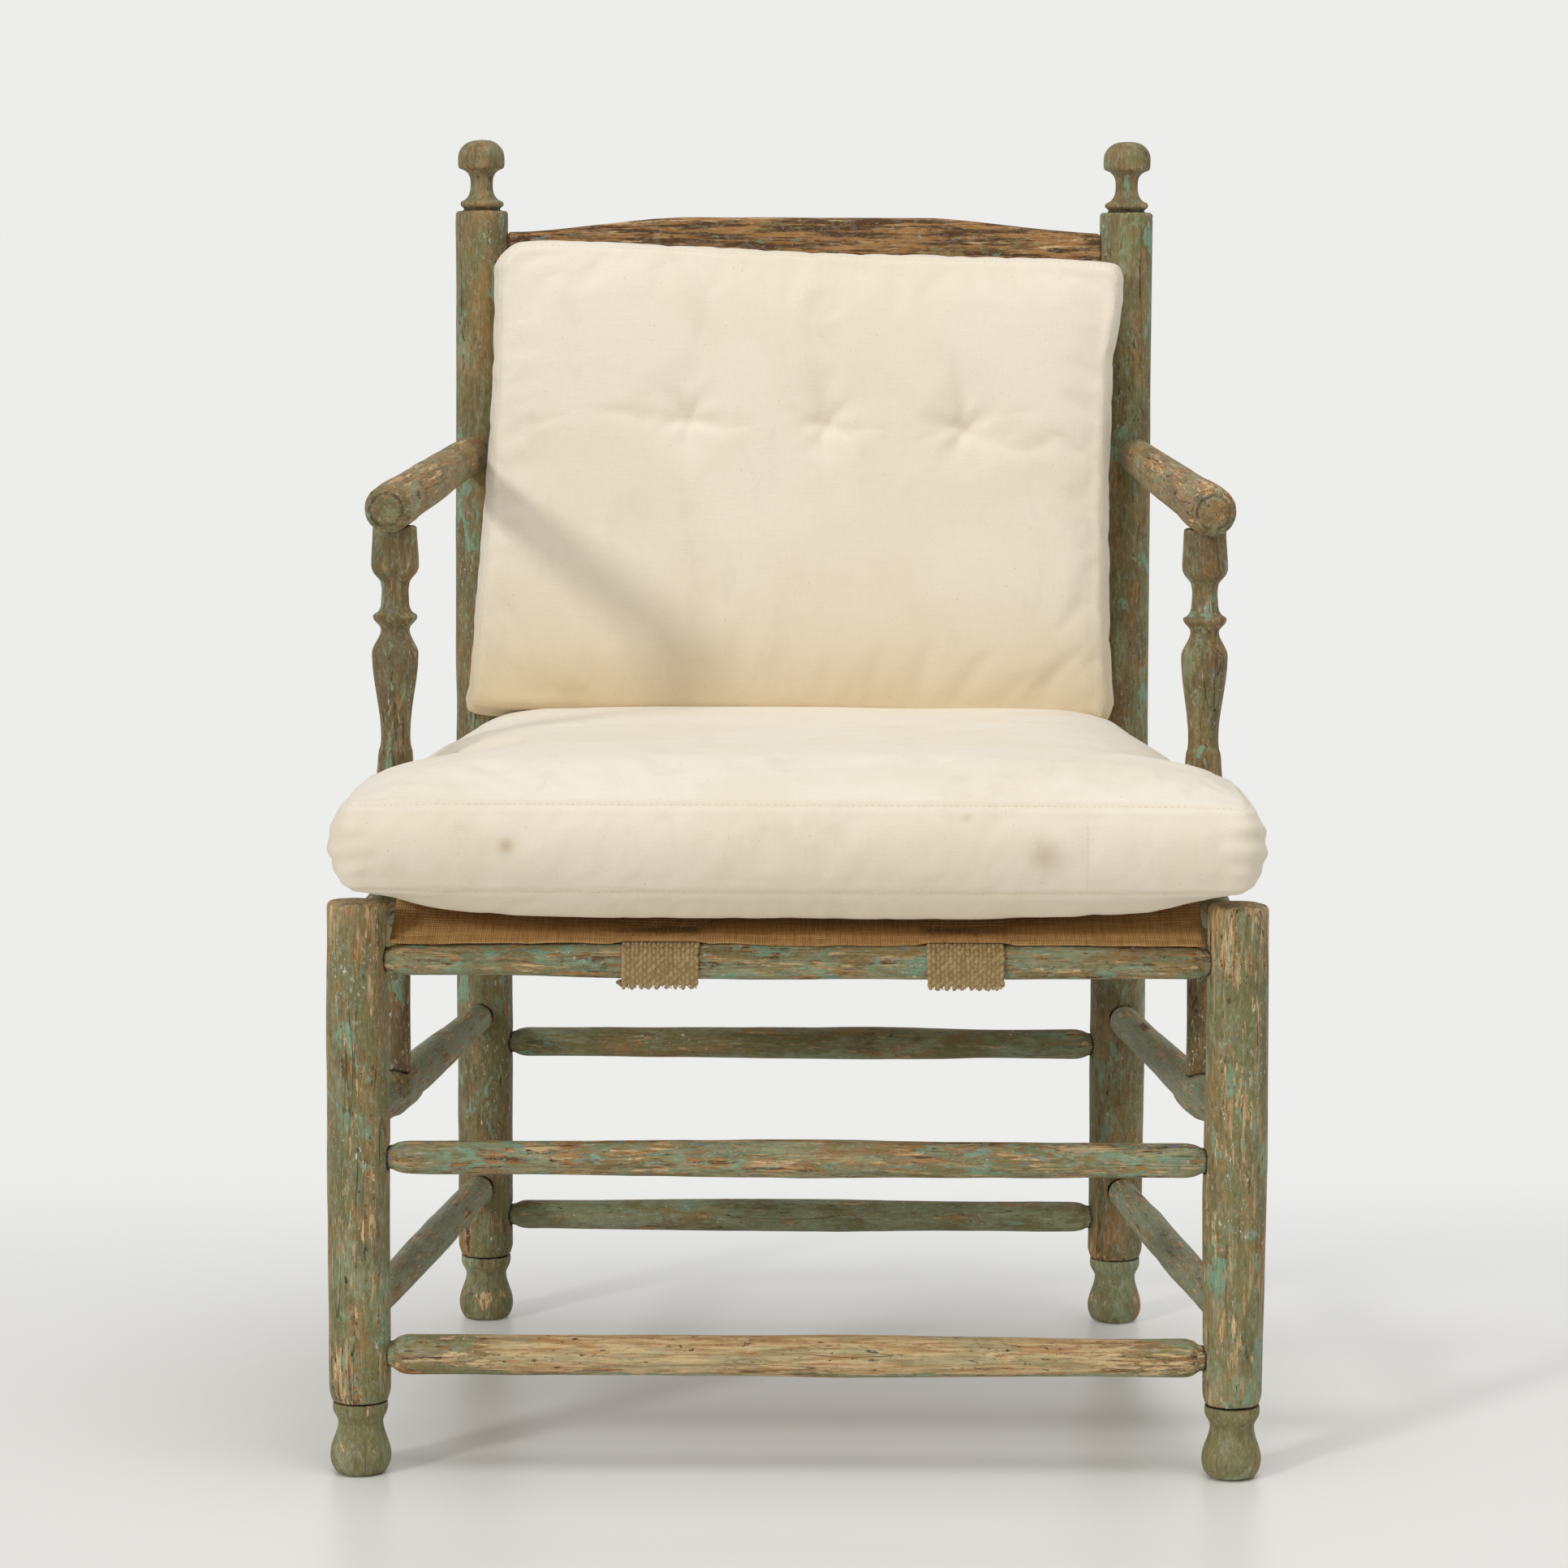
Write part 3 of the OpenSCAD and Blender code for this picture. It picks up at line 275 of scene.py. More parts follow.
def attribute(mesh, name, values):
    """Stores one number or one vector for each vertex."""
    kind = "FLOAT" if values.ndim == 1 else "FLOAT_VECTOR"
    layer = mesh.attributes.new(name, kind, "POINT")
    layer.data.foreach_set("value" if kind == "FLOAT" else "vector",
                           values.astype(np.float32).ravel())


def new_object(name, mesh):
    """Links a mesh into the scene as an object at the origin."""
    obj = bpy.data.objects.new(name, mesh)
    bpy.context.scene.collection.objects.link(obj)
    return obj


def settled(obj):
    """Applies an object's modifiers by replacing its mesh with the evaluated one."""
    graph = bpy.context.evaluated_depsgraph_get()
    mesh = bpy.data.meshes.new_from_object(obj.evaluated_get(graph))
    old = obj.data
    obj.modifiers.clear()
    obj.data = mesh
    bpy.data.meshes.remove(old)
    return obj


def merged_copy(name):
    """A copy of a CAD node's mesh with its loose triangles joined."""
    mesh = NODES[name].data.copy()
    mesh.materials.clear()
    shape = bmesh.new()
    shape.from_mesh(mesh)
    bmesh.ops.remove_doubles(shape, verts=shape.verts, dist=1e-6)
    shape.to_mesh(mesh)
    shape.free()
    return mesh


def smooth_shaded(mesh):
    """Shades all faces as one smooth surface."""
    mesh.polygons.foreach_set("use_smooth", np.ones(len(mesh.polygons), bool))


def surface_of(mesh):
    """A mesh's surface, ready for finding the nearest place on it."""
    return BVHTree.FromPolygons([v.co for v in mesh.vertices], [p.vertices[:] for p in mesh.polygons])


def remeshed_copy(name, voxel, piece):
    """A copy of a CAD node cut into small even faces."""
    obj = new_object(piece, merged_copy(name))
    cut = obj.modifiers.new("even faces", "REMESH")
    cut.mode = "VOXEL"
    cut.voxel_size = voxel
    settled(obj)
    smooth_shaded(obj.data)
    return obj


def edge_pairs(mesh):
    """The two vertices of each edge."""
    pairs = np.zeros(len(mesh.edges) * 2, np.int32)
    mesh.edges.foreach_get("vertices", pairs)
    return pairs.reshape(-1, 2)


def spread(values, pairs, rounds):
    """Averages a value over each vertex's neighbours."""
    count = np.bincount(pairs.ravel(), minlength=len(values)).astype(float)
    for _ in range(rounds):
        total = np.bincount(pairs[:, 0], values[pairs[:, 1]], len(values))
        total += np.bincount(pairs[:, 1], values[pairs[:, 0]], len(values))
        values = (values + total / np.maximum(count, 1)) / 2
    return values


def hollowness(points, normals, pairs, rounds):
    """How hollow the surface is at each vertex, in metres: above 0 in a hollow, below 0 on an edge."""
    count = np.bincount(pairs.ravel(), minlength=len(points)).astype(float)
    middle = np.stack([np.bincount(pairs[:, 0], points[pairs[:, 1], k], len(points))
                       + np.bincount(pairs[:, 1], points[pairs[:, 0], k], len(points))
                       for k in range(3)], axis=1) / np.maximum(count, 1)[:, None]
    return spread(((middle - points) * normals).sum(axis=1), pairs, rounds)


def finish_piece(obj, node_name, material, body="frame"):
    """Gives a piece its material and lets it stand for its CAD node."""
    obj.data.materials.clear()
    obj.data.materials.append(material)
    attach(obj, body)
    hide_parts(node_name)


# Wood

def distressed_wood(name, settings, olive=0.6, green=0.45, teal=0.2, slate=0.06, rubbed=0.15,
                    chips=0.03, holes=0.3, pale=0.25, brown=0.3, cover=0.93, dark=0.25, streaks=0.72):
    """Old paint on turned hardwood, worn through by use. Coats of olive, green and teal lie over each
    other in ragged chips, thin enough for the grain to show, with brown wood between them,
    chalky flecks, worm holes and dirt in the joints. Each number is the share of the surface it
    covers; streaks and pale are the lighter grain of the bare wood, brown is paint stained by it,
    dark is paint darkened by dirt, and cover is how much of the wood the paint hides."""
    material, tree, shader = new_material(name, Specular_IOR_Level=0.35)
    grain = stored(tree, "grain", "Vector")
    edge, hollow, use, joint = (stored(tree, name) for name in ("edge", "hollow", "use", "joint"))
    worn = maths(tree, "MULTIPLY_ADD", edge, 0.33, use)
    mottle = (360, 360, 150)

    # Tint of the paint: olive, faded to grey green in clouds 35 mm across, mottled 3 mm across
    paint, tints = layered(tree, grain, settings.paint_olive, (
        ("stained", (34, 34, 12), 9, 0.68, 0.3, brown, 0.07, 0, 0.6, settings.wood_mid),
        ("faded", (30, 30, 13), 9, 0.70, 0.3, green, 0.05, 0, 0.9, settings.paint_green),
        ("mottled", mottle, 5, 0.7, 0, 0.4, 0.08, 0, 0.35, settings.paint_olive),
        ("shaded", (60, 60, 20), 8, 0.75, 0.2, dark, 0.06, 0, 0.2 + 0.6 * dark, settings.wood_dark),
        ("dusty", (70, 70, 22), 8, 0.78, 0.2, 0.14, 0.06, 0, 0.14, settings.chalk)))
    rubs, _ = layered(tree, grain, settings.wood_mid, (
        ("light", (300, 300, 22), 4, 0.65, 0.2, 0.5, 0.10, 0, 1, settings.wood_light),
        ("grey", (60, 60, 14), 5, 0.7, 0, 0.35, 0.06, 0, 0.45, settings.paint_green)))
    _, near = layered(tree, grain, settings.chalk, (
        ("chips", (30, 30, 16), 3, 0.6, 0, 0.45, 0.08, 0, 0.9, settings.chalk),
        ("cracks", (16, 16, 6), 3, 0.6, 0, 0.3, 0.03, 0, 0.7, settings.chalk),
        ("holes", (20, 20, 10), 3, 0.6, 0, holes, 0.05, 0, 0.95, settings.chalk)))
    chipped = maths(tree, "MAXIMUM", near["chips"], joint)

    base, masks = layered(tree, grain, settings.wood_dark, (
        # Bare wood in streaks 4 mm across and 60 mm long, with open pores 1 mm across
        ("streak", (260, 260, 16), 4, 0.6, 0.25, streaks, 0.07, 0, 1, settings.wood_mid),
        ("light", (240, 240, 18), 4, 0.6, 0.25, pale, 0.06, 0.12, 1, settings.wood_light),
        ("pores", (1000, 1000, 80), 2, 0.6, 0, 0.14, 0.04, 0, 0.8, settings.wood_dark),
        # Coats of paint in ragged chips 8 to 18 mm across and 20 to 50 mm long
        ("under", (120, 120, 48), 8, 0.76, 0.4, teal + 0.04, 0.016, -0.24, 0.85, settings.paint_teal),
        ("coat", (75, 75, 20), 9, 0.72, 0.4, olive, 0.012, -0.28, cover, paint),
        ("patch", (56, 56, 24), 8, 0.72, 0.4, teal * 0.7, 0.014, -0.24, 0.85, settings.paint_teal),
        ("slate", (60, 60, 30), 8, 0.78, 0, slate, 0.02, 0, 0.7, settings.slate),
        # Rubs along the grain, chalky chips and dark flecks 2 mm across, fibres 1 mm across
        ("rub", (190, 190, 22), 7, 0.74, 0.3, rubbed, 0.016, 0.20, 0.85, rubs),
        ("chip", (400, 400, 170), 5, 0.74, 0, chips * 2, 0.012, 0, chipped, settings.chalk),
        ("hole", (330, 330, 110), 4, 0.7, 0, 0.075, 0.008, 0, near["holes"], settings.grime),
        ("fleck", (420, 420, 90), 5, 0.75, 0, 0.06, 0.010, 0, 0.85, settings.grime),
        ("fibre", (900, 900, 40), 3, 0.6, 0, 0.3, 0.08, 0, 0.2, settings.wood_dark),
        ("dust", mottle, 5, 0.72, 0, 0.25, 0.06, 0, 0.12, settings.chalk)), worn)

    # Long cracks 0.3 mm wide, and dirt in the hollows and where two pieces meet
    thread = node(tree, "ShaderNodeVectorMath", {0: grain, 1: (60.0, 60.0, 3.0)}, 0,
                  operation="MULTIPLY")
    line = node(tree, "ShaderNodeTexNoise", {"Vector": thread, "Scale": 1.0, "Detail": 2.0}, "Fac")
    line = maths(tree, "ABSOLUTE", maths(tree, "SUBTRACT", line, 0.5))
    line = node(tree, "ShaderNodeMapRange", {0: line, 1: 0.001, 2: 0.006, 3: near["cracks"], 4: 0.0}, 0)
    dirt = node(tree, "ShaderNodeMapRange", {0: hollow, 1: 0.10, 2: 0.85, 4: 0.75}, 0)
    ragged = maths(tree, "MULTIPLY_ADD", masks["dust"], 1.2, joint)
    seam = node(tree, "ShaderNodeMapRange", {0: ragged, 1: 0.80, 2: 0.99, 4: 0.9}, 0)
    for part in (line, dirt, seam):
        base = mixed(tree, part, base, settings.grime)

    height = 0.0
    for part, share in ((masks["streak"], 0.12), (masks["pores"], -0.15), (masks["coat"], 0.24),
                        (masks["under"], 0.14), (masks["patch"], 0.12), (masks["rub"], -0.18),
                        (masks["chip"], -0.3), (masks["fibre"], -0.45), (tints["mottled"], 0.15),
                        (masks["hole"], -1.2), (line, -0.9), (masks["fleck"], -0.4)):
        height = maths(tree, "MULTIPLY_ADD", part, share, height)
    bump = node(tree, "ShaderNodeBump", {"Strength": 0.7, "Distance": 0.0009, "Height": height}, 0)
    rough = maths(tree, "MULTIPLY_ADD", masks["coat"], -0.16, 0.74)
    for label, value in (("Base Color", base), ("Roughness", rough), ("Normal", bump)):
        tree.links.new(value, shader.inputs[label])
    return material


WOODEN = [name for name in NODES
          if name.split("_")[0] in ("front", "rear", "side", "arm", "crest", "back")
          and name != "back_cushion"]
JOINT_REACH = 0.006                          # how far the dirt of a joint spreads over the wood
GRAIN_SHIFT = np.array([0.31, 0.17, 0.73])   # gives each piece a grain of its own
WARP_LUMP = 0.085                            # size of the wood's slow bends
DENT_LUMP = (0.013, 0.013, 0.034)            # size of its dents, across and along the grain
PORE_LUMP = (0.0034, 0.0034, 0.05)           # size of its open grain


def solid_surface(name):
    """The surface of a CAD node's solid."""
    mesh = merged_copy(name)
    surface = surface_of(mesh)
    bpy.data.meshes.remove(mesh)
    return surface


def joint_nearness(node_name, points):
    """1 where another wooden piece touches, falling to 0 a few millimetres away."""
    near = np.zeros(len(points))
    low, high = (np.array(corner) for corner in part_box(node_name))
    for other in WOODEN:
        other_low, other_high = (np.array(corner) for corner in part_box(other))
        if other == node_name or (other_low > high + JOINT_REACH).any() or (
                other_high < low - JOINT_REACH).any():
            continue
        inside = ((points > other_low - JOINT_REACH) & (points < other_high + JOINT_REACH)).all(axis=1)
        if inside.any():
            surface = solid_surface(other)
            far = np.array([surface.find_nearest(p)[3] for p in points[inside]])
            near[inside] = np.maximum(near[inside], 1 - np.minimum(far / JOINT_REACH, 1))
    return near


def worn_wood(node_name, piece, voxel, settings, seed, axis=None, used=None, groove=None):
    """A worn copy of a wooden node: its own shape with warp, dents and open grain along its axis.
    used gives how far use has worn each place, from its point and its normal, and groove is how far
    a turned groove, dark with dirt, lies from the front end."""
    obj = remeshed_copy(node_name, voxel, piece)
    mesh = obj.data
    points = coordinates(mesh)
    normals = coordinates(mesh, "normal")
    middle = points.mean(axis=0)
    if axis is None:
        axis = np.linalg.svd(points[::7] - middle, full_matrices=False)[2][0]
    axis = np.asarray(axis, float)
    axis = axis * np.sign(axis[np.argmax(np.abs(axis))])
    side = np.cross(axis, [0.0, 0.0, 1.0] if abs(axis[2]) < 0.9 else [0.0, 1.0, 0.0])
    side /= np.linalg.norm(side)
    local = (points - middle) @ np.stack([side, np.cross(axis, side), axis], axis=1)
    grain = local + GRAIN_SHIFT * seed

    pairs = edge_pairs(mesh)
    hollow = hollowness(points, normals, pairs, 2) / voxel
    move = settings.warp * lattice_noise(grain, WARP_LUMP, seed)
    move += settings.dents * lattice_noise(grain, DENT_LUMP, seed + 50)
    move += settings.grain_relief * lattice_noise(grain, PORE_LUMP, seed + 90)
    # Sharp edges are knocked down unevenly
    knocked = 1 + lattice_noise(grain, 0.012, seed + 7)
    move += -0.9 * settings.dents * np.clip(-hollow * 6, 0, 1) * knocked
    joint = joint_nearness(node_name, points)
    if groove is not None:
        cut = np.exp(-((local[:, 2] - local[:, 2].min() - groove) / settings.groove_half) ** 2)
        move -= 0.7 * settings.groove_half * cut
        joint = np.maximum(joint, 0.85 * cut)
    place(mesh, points + normals * move[:, None])

    attribute(mesh, "use", np.zeros(len(points)) if used is None else np.clip(
        used(points, normals) * (1 + 0.5 * lattice_noise(points, 0.03, seed + 5)), 0, 1))
    attribute(mesh, "joint", joint)
    attribute(mesh, "grain", grain)
    attribute(mesh, "edge", np.clip(-hollow * 7 - 0.12, 0, 1))
    attribute(mesh, "hollow", np.clip(spread(np.clip(hollow, 0, 1), pairs, 2) * 9, 0, 1))
    return obj


def ramp(values, low, high):
    """0 below low, 1 above high and smooth between them."""
    t = np.clip((values - low) / (high - low), 0, 1)
    return t * t * (3 - 2 * t)


class CHAIR_OT_legs_and_posts(bpy.types.Operator):
    """Makes the turned front legs and the rear posts with their finials"""
    bl_idname = "chair.legs_and_posts"
    bl_label = "Legs and posts"

    def execute(self, context):
        wood = context.scene.chair_wood
        legs = distressed_wood("distressed paint on turned hardwood, legs", wood, olive=0.78,
                               green=0.2, teal=0.24, slate=0.06, rubbed=0.2, chips=0.055, holes=0.35,
                               pale=0.36, brown=0.36)
        posts = distressed_wood("distressed paint on turned hardwood, posts", wood, olive=0.86,
                                green=0.12, teal=0.24, slate=0.06, rubbed=0.04, chips=0.04, holes=0.2,
                                pale=0.04, brown=0.34, cover=0.86, dark=0.45)
        for seed, (node_name, piece, paint) in enumerate((
                ("front_leg_left", "Leg_front_left", legs), ("front_leg_right", "Leg_front_right", legs),
                ("rear_post_left", "Post_rear_left", posts),
                ("rear_post_right", "Post_rear_right", posts))):
            # The front legs' tops are rubbed bare, and the left of each lower end is scuffed
            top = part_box(node_name)[1][2]
            bare_top = 0.35 if node_name.startswith("front") else 0.0
            leg = worn_wood(node_name, piece, wood.even_face, wood, 3 + seed,
                            used=lambda p, n: bare_top * ramp(p[:, 2], top - 0.07, top - 0.01)
                            + 0.20 * ramp(-p[:, 2], -0.16, -0.06) * ramp(-n[:, 0], -0.2, 0.6))
            finish_piece(leg, node_name, paint)
        return {"FINISHED"}


class CHAIR_OT_feet(bpy.types.Operator):
    """Makes the four turned feet"""
    bl_idname = "chair.feet"
    bl_label = "Feet"

    def execute(self, context):
        wood = context.scene.chair_wood
        paint = distressed_wood("scuffed dark paint on turned feet", wood, olive=0.96, green=0.2,
                                teal=0.03, slate=0.02, rubbed=0.03, chips=0.01, holes=0.06, pale=0.5,
                                brown=0.14)
        bulb, shoulder = 0.021, 0.050    # heights at which a foot is widest, and so is scuffed

        def scuffed(p, n):
            """The paint is worn off where the turning is widest."""
            return 0.35 * np.exp(-((p[:, 2] - bulb) / 0.006) ** 2) + (
                0.15 * np.exp(-((p[:, 2] - shoulder) / 0.004) ** 2))

        for seed, corner in enumerate(("front_left", "front_right", "rear_left", "rear_right")):
            end, side = corner.split("_")
            foot = worn_wood(f"{end}_foot_{side}", f"Foot_{corner}", wood.fine_face, wood,
                             11 + seed, axis=(0, 0, 1), used=scuffed)
            finish_piece(foot, f"{end}_foot_{side}", paint)
        return {"FINISHED"}


class CHAIR_OT_rungs(bpy.types.Operator):
    """Makes the seat rails and the stretchers"""
    bl_idname = "chair.rungs"
    bl_label = "Rails and stretchers"

    def execute(self, context):
        wood = context.scene.chair_wood
        green = distressed_wood("distressed paint on turned hardwood, rungs", wood, olive=0.84,
                                green=0.5, teal=0.14, slate=0.06, rubbed=0.12, chips=0.035, holes=0.05)
        grey = distressed_wood("faded paint on turned hardwood, side rungs", wood, olive=0.78,
                               green=0.85, teal=0.1, slate=0.10, rubbed=0.2, chips=0.05, holes=0.04,
                               pale=0.4)
        front = distressed_wood("distressed paint rubbed by hands, front rungs", wood, olive=0.66,
                                green=0.5, teal=0.3, slate=0.12, rubbed=0.2, chips=0.04, holes=0.14,
                                pale=0.3, brown=0.4, cover=0.74)
        bare = distressed_wood("bare hardwood rubbed by shoes, foot rung", wood, olive=0.62,
                               green=0.5, teal=0.05, slate=0.10, rubbed=0.2, chips=0.02, holes=0.5,
                               pale=0.45)

        def by_shoes(p, n):
            """The front and top are bare between the ends."""
            return 0.9 * ramp(0.24 - np.abs(p[:, 0]), -0.02, 0.05) * ramp(
                n[:, 2] - 0.4 * n[:, 1] + 0.25 * lattice_noise(p, 0.05, 77), -0.55, 0.0)

        rungs = (
            ("front_seat_rail", "Seat_rail_front", front, wood.even_face, None),
            ("rear_seat_rail", "Seat_rail_rear", green, wood.hidden_face, None),
            ("side_seat_rail_left", "Seat_rail_left", green, wood.hidden_face, None),
            ("side_seat_rail_right", "Seat_rail_right", green, wood.hidden_face, None),
            ("front_stretcher_upper", "Stretcher_front_upper", front, wood.even_face, None),
            ("front_stretcher_lower", "Stretcher_front_lower", bare, wood.even_face, by_shoes),
            ("rear_stretcher_upper", "Stretcher_rear_upper", green, wood.plain_face, None),
            ("rear_stretcher_lower", "Stretcher_rear_lower", green, wood.plain_face, None),
            ("side_stretcher_upper_left", "Stretcher_left_upper", grey, wood.plain_face, None),
            ("side_stretcher_upper_right", "Stretcher_right_upper", grey, wood.plain_face, None),
            ("side_stretcher_lower_left", "Stretcher_left_lower", grey, wood.plain_face, None),
            ("side_stretcher_lower_right", "Stretcher_right_lower", grey, wood.plain_face, None))
        for seed, (node_name, piece, paint, voxel, used) in enumerate(rungs):
            rung = worn_wood(node_name, piece, voxel, wood, 23 + seed, used=used)
            finish_piece(rung, node_name, paint)
        return {"FINISHED"}


class CHAIR_OT_arms(bpy.types.Operator):
    """Makes the round arms and the turned supports under them"""
    bl_idname = "chair.arms"
    bl_label = "Arms and supports"

    def execute(self, context):
        wood = context.scene.chair_wood
        arm_paint = distressed_wood("distressed paint rubbed by hands, arms", wood, olive=0.86,
                                    green=0.25, teal=0.14, slate=0.06, rubbed=0.08, chips=0.04,
                                    holes=0.3, pale=0.12, brown=0.42, cover=0.85, dark=0.5)
        turned_paint = distressed_wood("distressed paint on fine turning", wood, olive=0.90, green=0.08,
                                       teal=0.24, slate=0.08, rubbed=0.10, chips=0.06, holes=0.3,
                                       pale=0.03, brown=0.5, cover=0.87, dark=0.65)

        def by_hands(p, n):
            """The top is rubbed by hands, behind the knob."""
            return 0.28 * ramp(n[:, 2], 0.0, 0.8) * ramp(p[:, 1], -0.20, -0.16)

        for seed, side in enumerate(("left", "right")):
            arm = worn_wood(f"arm_{side}", f"Arm_{side}", wood.fine_face, wood, 41 + seed,
                            groove=wood.knob, used=by_hands)
            finish_piece(arm, f"arm_{side}", arm_paint)
            support = worn_wood(f"arm_support_{side}", f"Arm_support_{side}", wood.fine_face, wood,
                                45 + seed)
            finish_piece(support, f"arm_support_{side}", turned_paint)
        return {"FINISHED"}


class CHAIR_OT_back_boards(bpy.types.Operator):
    """Makes the crest, the slats and the crest's pegs"""
    bl_idname = "chair.back_boards"
    bl_label = "Crest and slats"

    def execute(self, context):
        wood = context.scene.chair_wood
        brown = distressed_wood("dry brown hardwood with traces of paint", wood, olive=0.2,
                                green=0.2, teal=0.05, slate=0.05, rubbed=0.06, chips=0.02, holes=0.2,
                                pale=0.05, brown=0.5, dark=0.6, streaks=0.48)
        for seed, (node_name, piece, voxel) in enumerate((
                ("crest_rail", "Crest_rail", wood.plain_face),
                ("back_slat_upper", "Back_slat_upper", wood.hidden_face),
                ("back_slat_middle", "Back_slat_middle", wood.hidden_face),
                ("back_slat_lower", "Back_slat_lower", wood.hidden_face))):
            board = worn_wood(node_name, piece, voxel, wood, 61 + seed, axis=(1, 0, 0))
            finish_piece(board, node_name, brown)
        pegs = worn_wood("crest_pegs", "Crest_pegs", 0.001, wood, 71, axis=(0, 1, 0))
        finish_piece(pegs, "crest_pegs", brown)
        return {"FINISHED"}


# Webbing

RAIL_R = 0.0135          # radius of the seat rails
STRAP_GAP = 0.00025      # gap between a strap and the wood it wraps
STRAP_HALF = 0.0275      # half the width of a strap's solid
STRAP_THICK = 0.0024     # its thickness
SIDE_RISE = 0.025        # how far the side rails lie above the front and the rear one
SEAT_CLIMB = 0.070       # how far behind the front rail the webbing reaches its level
WEB_SAG = 0.008          # how far the side to side straps sag at their middle
SELVEDGE = 0.001         # how far a strap's core ends inside its edge
ROWS_IN_VIEW = 20        # rows of stitches on a long strap's tail and round the front rail


def smooth(t):
    """0 to 1 by an S curve."""
    t = min(1.0, max(0.0, t))
    return t * t * (3 - 2 * t)


def middle_of(node_name):
    """The middle of a node's box."""
    low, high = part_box(node_name)
    return [(a + b) / 2 for a, b in zip(low, high)]


def wrapped(centre, radius, start, end, steps=24):
    """Points round a rail from one angle to another, as (run, height)."""
    return [(centre[0] + radius * math.cos(math.radians(start + (end - start) * i / steps)),
             centre[1] + radius * math.sin(math.radians(start + (end - start) * i / steps)))
            for i in range(steps + 1)]


def run_along(path):
    """The distance from a path's start to each of its points."""
    return np.concatenate([[0], np.cumsum(np.linalg.norm(np.diff(path, axis=0), axis=1))])


def resampled(path, step):
    """The same path with points a step apart, as an array."""
    path = np.asarray(path, float)
    along = run_along(path)
    places = np.arange(0, along[-1], step)
    return np.stack([np.interp(places, along, path[:, k]) for k in range(path.shape[1])], axis=1)


def side_x(y):
    """Distance from the chair's middle to a side rail's axis at a depth y."""
    front = middle_of("front_leg_right")
    rear = middle_of("rear_post_right")
    return front[0] + (rear[0] - front[0]) * (y - front[1]) / (rear[1] - front[1])


def long_path(x, radius, tail_end):
    """The path of a strap from front to back, as points in the chair. Its tail hangs straight down
    from the front rail, and its rear end is wrapped round the rear rail."""
    front = middle_of("front_seat_rail")
    rear = middle_of("rear_seat_rail")
    near = max(0.0, abs(x) - STRAP_HALF)
    climb = SIDE_RISE - STRAP_THICK - STRAP_GAP - WEB_SAG * (1 - (near / side_x(front[1])) ** 2)
    top = front[2] + radius
    tail = [(front[1] - radius, tail_end + (front[2] - tail_end) * j / 12) for j in range(12)]
    run = []
    for j in range(1, 60):
        y = front[1] + (rear[1] - front[1]) * j / 60
        raised = smooth((y - front[1]) / SEAT_CLIMB) * smooth((rear[1] - y) / SEAT_CLIMB)
        run.append((y, top + climb * raised))
    pairs = (tail + wrapped((front[1], front[2]), radius, 180, 90) + run
             + wrapped((rear[1], front[2]), radius, 90, -110))
    return [(x, y, z) for y, z in pairs]


def cross_path(y, radius):
    """The path of a strap from side to side, round both side rails."""
    x = side_x(y)
    z = middle_of("side_seat_rail_left")[2]
    run = [(x * (i / 30 - 1), z + radius - WEB_SAG * (1 - (i / 30 - 1) ** 2)) for i in range(1, 60)]
    pairs = wrapped((-x, z), radius, 280, 90) + run + wrapped((x, z), radius, 90, -100)
    return [(px, y, pz) for px, pz in pairs]


